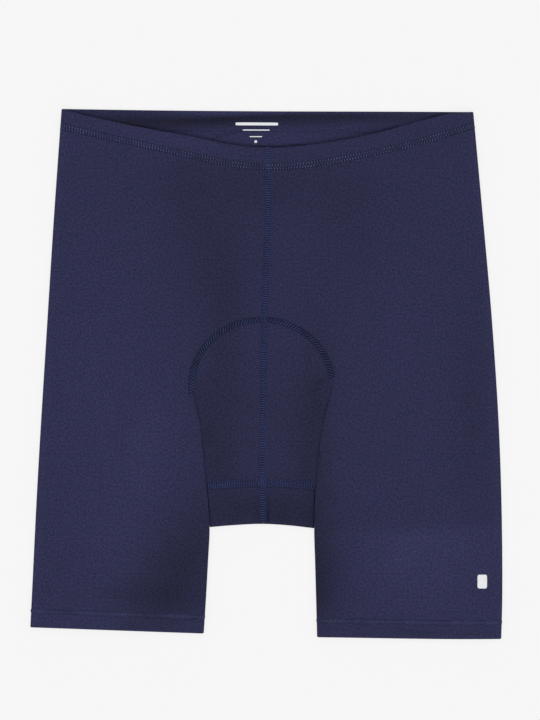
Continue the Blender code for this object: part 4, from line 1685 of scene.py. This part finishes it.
@dataclass
class Prints:
    """The plain heat-pressed marks: one on the left leg, and a few bars inside the back of the waist.

    Attributes:
        surface: Gives the height of the legs' front.
        band: Its inner face carries the upper bars.
        film: Thickness of the print.
        leg_place, leg_size: Middle and size of the mark on the leg.
        bars: On the casing: middle in X, depth under the waist edge, width and height.
        low_bars: Under the casing: middle in X and Y, width and height.
    """

    surface: FrontSurface
    band: Waistband
    film: float = 0.09
    leg_place: Place = (193.8, -186.4)
    leg_size: Place = (8.6, 12.4)
    bars: tuple[Bar, ...] = ((-8.6, 11.6, 38.0, 2.6), (-9.2, 17.0, 24.0, 0.9))
    low_bars: tuple[Bar, ...] = ((-9.4, 213.4, 11.0, 0.8), (-9.6, 208.9, 2.2, 2.2))

    def pressed(self, points: Array) -> Mesh:
        """Returns a thin closed film on a grid of points of the cloth."""
        columns, rows = points.shape[:2]
        mesh = Mesh(points.reshape(-1, 3) + [0, 0, self.film], [grid_faces(columns, rows)[:, ::-1]])
        count = len(mesh.points)
        up = np.tile([0.0, 0.0, 1.0], (count, 1))
        film = np.full(count, 1.5 * self.film)
        return thickened(mesh, film, up, np.ones(count, bool), np.full(count, 0.02), steps=2)

    def leg_mark(self) -> Mesh:
        """Returns the mark on the left leg."""
        place = rounded_grid(20) * np.array(self.leg_size) / 2 + self.leg_place
        x, y = place[..., 0], place[..., 1]
        return self.pressed(np.stack([x, y, self.surface.front(x, y)], axis=2))

    def waist_marks(self) -> Mesh:
        """Returns the bars inside the back."""
        films = []
        for x, depth, width, height in self.bars:
            place = rounded_grid(24, 12.0) * np.array([width, height]) / 2 + [x, depth]
            films.append(self.pressed(self.band.inside(place[..., 0], place[..., 1])[:, ::-1]))
        panel = self.surface.panels[Side.LEFT]
        for x, y, width, height in self.low_bars:
            place = rounded_grid(16, 12.0) * np.array([width, height]) / 2 + [x, y]
            under = panel.relief_at(place[..., 0], place[..., 1], np.zeros(place.shape[:2]))
            films.append(self.pressed(np.dstack([place, under + panel.lift + panel.wall])))
        return joined(films)


class MaterialMaker:
    """One new material, with short ways to add its nodes and link them.

    Attributes:
        material: The material.
        nodes, links: Its nodes and links.
        shader: Its shader.
    """

    def __init__(self, name: str, values: dict[str, float | tuple[float, ...]]) -> None:
        """Makes the material.

        Args:
            name: Its name.
            values: The shader's inputs that differ from Blender's own.
        """
        self.material = bpy.data.materials.new(name)
        self.material.use_nodes = True
        self.nodes = self.material.node_tree.nodes
        self.links = self.material.node_tree.links
        self.shader = self.nodes["Principled BSDF"]
        for key, value in values.items():
            self.shader.inputs[key].default_value = value

    def node(
        self, kind: str, output: str, inputs: dict[str | int, Socket | float | Colour], **settings: str
    ) -> Socket:
        """Adds a node and returns one of its outputs.

        Args:
            kind: Its type, without the word ShaderNode.
            output: The output's name.
            inputs: What goes into it, each a number, a colour or a socket to link.
            settings: Its own settings.
        """
        node = self.nodes.new("ShaderNode" + kind)
        for key, value in settings.items():
            setattr(node, key, value)
        for key, value in inputs.items():
            if isinstance(value, Socket):
                self.links.new(value, node.inputs[key])
            else:
                node.inputs[key].default_value = value
        return node.outputs[output]

    def attribute(self, name: str, output: str = "Vector") -> Socket:
        """Returns an attribute of the mesh."""
        return self.node("Attribute", output, {}, attribute_name=name)

    def object_place(self) -> Socket:
        """Returns the place on the object."""
        return self.node("TexCoord", "Object", {})

    def noise(self, place: Socket, scale: float, detail: float, roughness: float) -> Socket:
        """Returns soft noise at a scale, in turns to a unit of the place."""
        inputs = {"Vector": place, "Scale": scale, "Detail": detail, "Roughness": roughness}
        return self.node("TexNoise", "Fac", inputs)

    def range(self, value: Socket, low: float, high: float, to_low: float, to_high: float) -> Socket:
        """Returns a value mapped from one range to another."""
        inputs = {"Value": value, "From Min": low, "From Max": high, "To Min": to_low, "To Max": to_high}
        return self.node("MapRange", "Result", inputs)

    def math(self, operation: str, *values: Socket | float) -> Socket:
        """Returns the outcome of one sum on sockets or numbers."""
        return self.node("Math", "Value", dict(enumerate(values)), operation=operation)

    def product(self, first: Socket, *others: Socket | float) -> Socket:
        """Returns the product of sockets and numbers."""
        for other in others:
            first = self.math("MULTIPLY", first, other)
        return first

    def parts(self, vector: Socket) -> list[Socket]:
        """Returns the three parts of a vector."""
        node = self.nodes.new("ShaderNodeSeparateXYZ")
        self.links.new(vector, node.inputs[0])
        return list(node.outputs)

    def strip(self, distance: Socket, middle: float, half: float, soft: float, strength: float) -> Socket:
        """Returns the strength inside a strip and 0 outside it.

        Args:
            distance: The distance that the strip lies along.
            middle, half: The strip's middle and half width.
            soft: The width in which it fades, half of it on each side of the edge.
            strength: Its value inside.
        """
        away = self.math("ABSOLUTE", self.math("SUBTRACT", distance, middle))
        return self.range(away, half - soft / 2, half + soft / 2, strength, 0.0)

    def scaled(self, colour: Colour, share: Socket) -> Socket:
        """Returns a colour times a number."""
        return self.node("VectorMath", "Vector", {0: colour, "Scale": share}, operation="SCALE")

    def added(self, first: Socket, second: Socket) -> Socket:
        """Returns the sum of two colours."""
        return self.node("VectorMath", "Vector", {0: first, 1: second}, operation="ADD")

    def finished(self, colour: Socket, height: Socket, strength: float, depth: float) -> Material:
        """Gives the shader its colour and its bump, and returns the material.

        Args:
            colour: The base colour.
            height: The bump's height, from 0 to 1.
            strength: The bump's strength.
            depth: How deep it is at full height.
        """
        bump = self.node("Bump", "Normal", {"Height": height, "Strength": strength, "Distance": depth * MM})
        self.links.new(colour, self.shader.inputs["Base Color"])
        self.links.new(bump, self.shader.inputs["Normal"])
        return self.material


@dataclass(frozen=True)
class PrintFinish:
    """Thin matt print, pressed into the knit.

    Attributes:
        colour: Linear base colour.
        roughness, specular: The shader's own values.
        grain: Scale of the knit that shows through.
        bump: Height of the grain.
    """

    colour: Colour = (0.74, 0.75, 0.77)
    roughness: float = 0.5
    specular: float = 0.3
    grain: float = 1100.0
    bump: float = 0.04

    def material(self, name: str) -> Material:
        """Returns the material, faintly uneven where the knit shows through."""
        make = MaterialMaker(name, {"Roughness": self.roughness, "Specular IOR Level": self.specular})
        grain = make.noise(make.object_place(), self.grain, 2.0, 0.6)
        colour = make.scaled(self.colour, make.range(grain, 0.35, 0.65, 0.93, 1.04))
        return make.finished(colour, grain, 0.4, self.bump)


@dataclass(frozen=True)
class JerseyFinish:
    """Fine stretch jersey.

    Attributes:
        warm_colour, cool_colour: Linear base colours, between which the dye drifts a little.
        seam_shade_colour: That of the painted shade between the stitches, beside the hems and seams and in
            the pinches.
        grain: How uneven the yarn is, as a share of the colour.
        wale, course: Size of one knitted loop, across and down.
        bump: Height of the loops.
        loop_shade: How much lighter the painted top of a loop is than its painted shaded sides, as a share.
        roughness, specular, sheen, sheen_roughness, sheen_tint: The shader's own values.
    """

    warm_colour: Colour = (0.0218, 0.0208, 0.0632)
    cool_colour: Colour = (0.0190, 0.0213, 0.0618)
    seam_shade_colour: Colour = (0.0030, 0.0058, 0.0235)
    grain: float = 0.41
    wale: float = 0.62
    course: float = 0.5
    bump: float = 0.09
    loop_shade: float = 0.32
    roughness: float = 0.68
    specular: float = 0.12
    sheen: float = 0.05
    sheen_roughness: float = 0.5
    sheen_tint: tuple[float, float, float, float] = (0.55, 0.6, 1.0, 1.0)

    def material(self, name: str) -> Material:
        """Returns the material. The loops follow the weave attribute, and its painted light and shade
        another attribute.
        """
        values = {
            "Roughness": self.roughness,
            "Specular IOR Level": self.specular,
            "Sheen Weight": self.sheen,
            "Sheen Roughness": self.sheen_roughness,
            "Sheen Tint": self.sheen_tint,
        }
        make = MaterialMaker(name, values)
        weave = make.attribute("weave")
        height = self.loop_height(make, weave)
        seam_shade, ridge_highlight = self.seams(make)
        # the colour's share: random yarn grain and mottling, painted light and shade, painted shade between
        # the loops, painted highlights on ridges, and painted shade by the stitches
        light = make.product(
            make.range(make.noise(weave, 0.55, 3.0, 0.85), 0.38, 0.62, 1 - self.grain, 1 + self.grain),
            make.range(make.noise(weave, 0.06, 2.0, 0.5), 0.3, 0.7, 0.97, 1.03),
            make.attribute("tone", "Fac"),
            make.range(height, -1.65, 0.35, 1 - self.loop_shade, 1 + self.loop_shade),
            make.math("ADD", ridge_highlight, 1.0),
            make.math("SUBTRACT", 1.0, seam_shade),
        )
        drift = make.range(make.noise(weave, 0.11, 2.0, 0.6), 0.35, 0.65, 0.0, 1.0)
        cool = make.scaled(self.cool_colour, make.product(light, drift))
        warm = make.scaled(self.warm_colour, make.product(light, make.math("SUBTRACT", 1.0, drift)))
        # the painted shade by the stitches, in its own dark colour
        shadow = make.scaled(self.seam_shade_colour, seam_shade)
        return make.finished(make.added(make.added(warm, cool), shadow), height, 0.6, self.bump)

    def loop_height(self, make: MaterialMaker, weave: Socket) -> Socket:
        """Returns the height of the knitted loops: ribs down the cloth, with slanting waves on them.

        Args:
            make: Adds the nodes.
            weave: The place in the flat cloth.
        """
        u, v, _ = make.parts(weave)
        wale = make.math("PINGPONG", make.math("DIVIDE", u, self.wale), 0.5)
        course = make.math("ADD", make.math("DIVIDE", v, self.course), make.product(wale, 1.1))
        loop = make.math("SINE", make.product(course, 2 * np.pi))
        return make.math("ADD", make.product(loop, 0.35), make.product(wale, -2.6))

    def seams(self, make: MaterialMaker) -> tuple[Socket, Socket]:
        """Returns the painted shade by the stitches, hems and pinches, and the painted highlight on ridges.

        Both come from the seams, edges and shown attributes.

        Args:
            make: Adds the nodes.
        """
        centre, waist, inseam = make.parts(make.attribute("seams"))
        pad, hem, front = make.parts(make.attribute("edges"))
        outline, within, pinch_shade = make.parts(make.attribute("shown"))
        low_row, high_row = HEM_ROWS
        # each a strip of painted shade: the distance that it lies along, its middle, half width, fading
        # width and strength, and how far it shows
        strips = (
            (centre, -0.2, 2.9, 0.8, 0.46, 1.0),
            (centre, -1.2, 0.5, 0.6, 0.70, 1.0),
            (waist, 1.75, 1.25, 0.7, 0.52, 1.0),
            (waist, -1.75, 1.25, 0.7, 0.68, 1.0),
            (inseam, 0.0, 2.7, 0.8, 0.40, within),
            (inseam, -4.0, 0.7, 0.8, 0.45, within),
            (pad, 0.0, 2.9, 0.8, 0.74, outline),
            (pad, 2.6, 0.4, 0.6, 0.95, outline),
            (hem, high_row, 0.45, 0.6, 0.62, 1.0),
            (hem, low_row, 0.40, 0.6, 0.50, 1.0),
            (hem, HEM_MIDDLE, 1.60, 0.6, 0.22, 1.0),
            (hem, 0.0, 0.60, 0.6, 0.60, 1.0),
        )
        seam_shade = pinch_shade
        for *strip, shown in strips:
            seam_shade = make.math("MAXIMUM", seam_shade, make.product(make.strip(*strip), shown))
        # painted highlights on the hem's ridge and along the casing's seam
        hem_ridge = make.strip(hem, HEM_MIDDLE, 0.7, 0.8, 0.30)
        ridge_highlight = make.math("ADD", hem_ridge, make.strip(waist, 0.0, 0.4, 0.5, 0.20))
        return make.product(seam_shade, front), ridge_highlight


@dataclass(frozen=True)
class ThreadFinish:
    """Textured sewing thread.

    Attributes:
        colour: Linear base colour.
        uneven: How much it varies within a stitch, as a share.
        clusters: How much it varies between groups of stitches.
        roughness, specular: The shader's own values.
        twist: Scale of the yarn's twist.
        bump: Height of the twist.
    """

    colour: Colour
    uneven: float = 0.25
    clusters: float = 0.35
    roughness: float = 0.6
    specular: float = 0.25
    twist: float = 1400.0
    bump: float = 0.04

    def material(self, name: str) -> Material:
        """Returns the material, with the twist of the yarn in its bump."""
        make = MaterialMaker(name, {"Roughness": self.roughness, "Specular IOR Level": self.specular})
        place = make.object_place()
        patchy, slow = make.noise(place, 900.0, 2.0, 0.5), make.noise(place, 75.0, 2.0, 0.6)
        shade = make.range(patchy, 0.3, 0.7, 1 - self.uneven, 1 + self.uneven)
        groups = make.range(slow, 0.35, 0.65, 1 - self.clusters, 1 + self.clusters)
        inputs = {"Vector": place, "Scale": self.twist, "Distortion": 1.0}
        twist = make.node("TexWave", "Fac", inputs, bands_direction="DIAGONAL")
        return make.finished(make.scaled(self.colour, make.product(shade, groups)), twist, 0.5, self.bump)


@dataclass(frozen=True)
class FloorFinish:
    """A plain pale table that is lit from below, so that hardly a shadow shows on it.

    Attributes:
        colour: Linear base colour.
        glow: Strength of its own light.
        roughness: The shader's own value.
    """

    colour: Colour = (0.15, 0.15, 0.15)
    glow: float = 0.765
    roughness: float = 0.9

    def material(self, name: str) -> Material:
        """Returns the material, with a faint unevenness in its colour."""
        values = {
            "Roughness": self.roughness,
            "Specular IOR Level": 0.0,
            "Emission Color": (1.0, 1.0, 1.0, 1.0),
            "Emission Strength": self.glow,
        }
        make = MaterialMaker(name, values)
        grain = make.range(make.noise(make.object_place(), 30.0, 2.0, 0.5), 0.3, 0.7, 0.998, 1.002)
        make.links.new(make.scaled(self.colour, grain), make.shader.inputs["Base Color"])
        return make.material


@dataclass
class Studio:
    """A pale floor, soft light all round and a camera straight above.

    Attributes:
        eye: The camera's place in metres.
        lens: In millimetres.
        sky: Strength of the light all round.
        key: Strength of the soft light from the hem's side.
        key_tilt: Its angle from straight down, in degrees.
        key_spread: How wide it looks, in degrees.
        floor_half: Half the floor's size.
    """

    eye: tuple[float, float, float] = (0.00324, 0.0125, 1.53)
    lens: float = 85.0
    sky: float = 0.93
    key: float = 0.60
    key_tilt: float = 42.0
    key_spread: float = 35.0
    floor_half: float = 3000.0

    def build(self) -> None:
        """Makes the floor, the lights and the camera."""
        corners = self.floor_half * np.array([(-1, -1, 0), (1, -1, 0), (1, 1, 0), (-1, 1, 0)])
        floor = Mesh(corners, [np.arange(4)[None]])
        floor.to_object("floor", FloorFinish().material("pale_floor"))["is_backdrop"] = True
        world = bpy.data.worlds.new("soft_studio")
        world.use_nodes = True
        background = world.node_tree.nodes["Background"]
        background.inputs["Color"].default_value = (1.0, 1.0, 1.0, 1.0)
        background.inputs["Strength"].default_value = self.sky
        scene = bpy.context.scene
        scene.world = world
        sun = bpy.data.lights.new("soft_key", "SUN")
        sun.energy = self.key
        sun.angle = np.radians(self.key_spread)
        light = bpy.data.objects.new("soft_key", sun)
        light.rotation_euler = (np.radians(self.key_tilt), 0.0, 0.0)
        scene.collection.objects.link(light)
        lens = bpy.data.cameras.new("camera")
        lens.lens = self.lens
        lens.sensor_width = 36.0
        lens.clip_end = 20.0
        camera = bpy.data.objects.new("camera", lens)
        camera.location = self.eye
        scene.collection.objects.link(camera)
        scene.camera = camera
        scene.view_settings.view_transform = "Standard"
        scene.view_settings.look = "None"


def corner_lists() -> list[list[float]]:
    """Returns the shown object's lowest and highest corners as plain lists."""
    bpy.context.view_layer.update()
    return [list(corner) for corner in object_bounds()]


def finish_piece(obj: Object, slot: str, *nodes: str) -> None:
    """Puts a piece on the body and hides the nodes that it stands for."""
    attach(obj, "root")
    if nodes:
        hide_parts(*nodes)
    obj.data.calc_loop_triangles()
    LOG.info("%s: %d triangles", obj.name, len(obj.data.loop_triangles))


def main() -> None:
    """Builds the shorts and the studio."""
    logging.basicConfig(level=logging.INFO, format="%(message)s")
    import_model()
    cad_box = corner_lists()
    relief = SewnRelief()
    pad = PadOutline()
    jersey = JerseyFinish().material("navy_jersey")
    casing = JerseyFinish().material("navy_casing")
    seam_thread = ThreadFinish((0.025, 0.036, 0.118), clusters=0.14).material("seam_thread")
    pad_thread = ThreadFinish((0.020, 0.029, 0.090)).material("pad_thread")
    waist_thread = ThreadFinish((0.053, 0.060, 0.137)).material("waist_thread")
    hem_thread = ThreadFinish((0.035, 0.041, 0.106), clusters=0.45).material("hem_thread")
    panels = {side: LegPanel(side, relief, pad) for side in Side}
    for side, panel in panels.items():
        name = f"{side.name.lower()}_leg"
        obj = panel.build(name, jersey)
        finish_piece(obj, "jersey", f"{name}_panel")
    surface = FrontSurface(panels)
    band = Waistband(relief, surface)
    obj = band.build("waist_casing", casing)
    finish_piece(obj, "waist_casing", "waistband")
    sewing = Sewing(surface, band)
    stitches = (
        ("waist_cover_stitch", sewing.waist(), waist_thread),
        ("centre_front_seam", sewing.centre_front(), seam_thread),
        ("inseam_stitch", sewing.inseam(), seam_thread),
        ("pad_stitch", sewing.pad_outline(), pad_thread),
        *((f"{side.name.lower()}_hem_stitch", sewing.hem(side), hem_thread) for side in Side),
        ("underside_stitches", sewing.underside(), seam_thread),
    )
    for name, mesh, thread in stitches:
        finish_piece(mesh.to_object(name, thread), "thread")
    prints = Prints(surface, band)
    pale = PrintFinish().material("pale_print")
    finish_piece(prints.leg_mark().to_object("leg_print", pale), "print")
    finish_piece(prints.waist_marks().to_object("waist_print", pale), "print")
    Studio().build()
    boxes = {"cad": cad_box, "visual": corner_lists()}


if __name__ == "__main__":
    main()
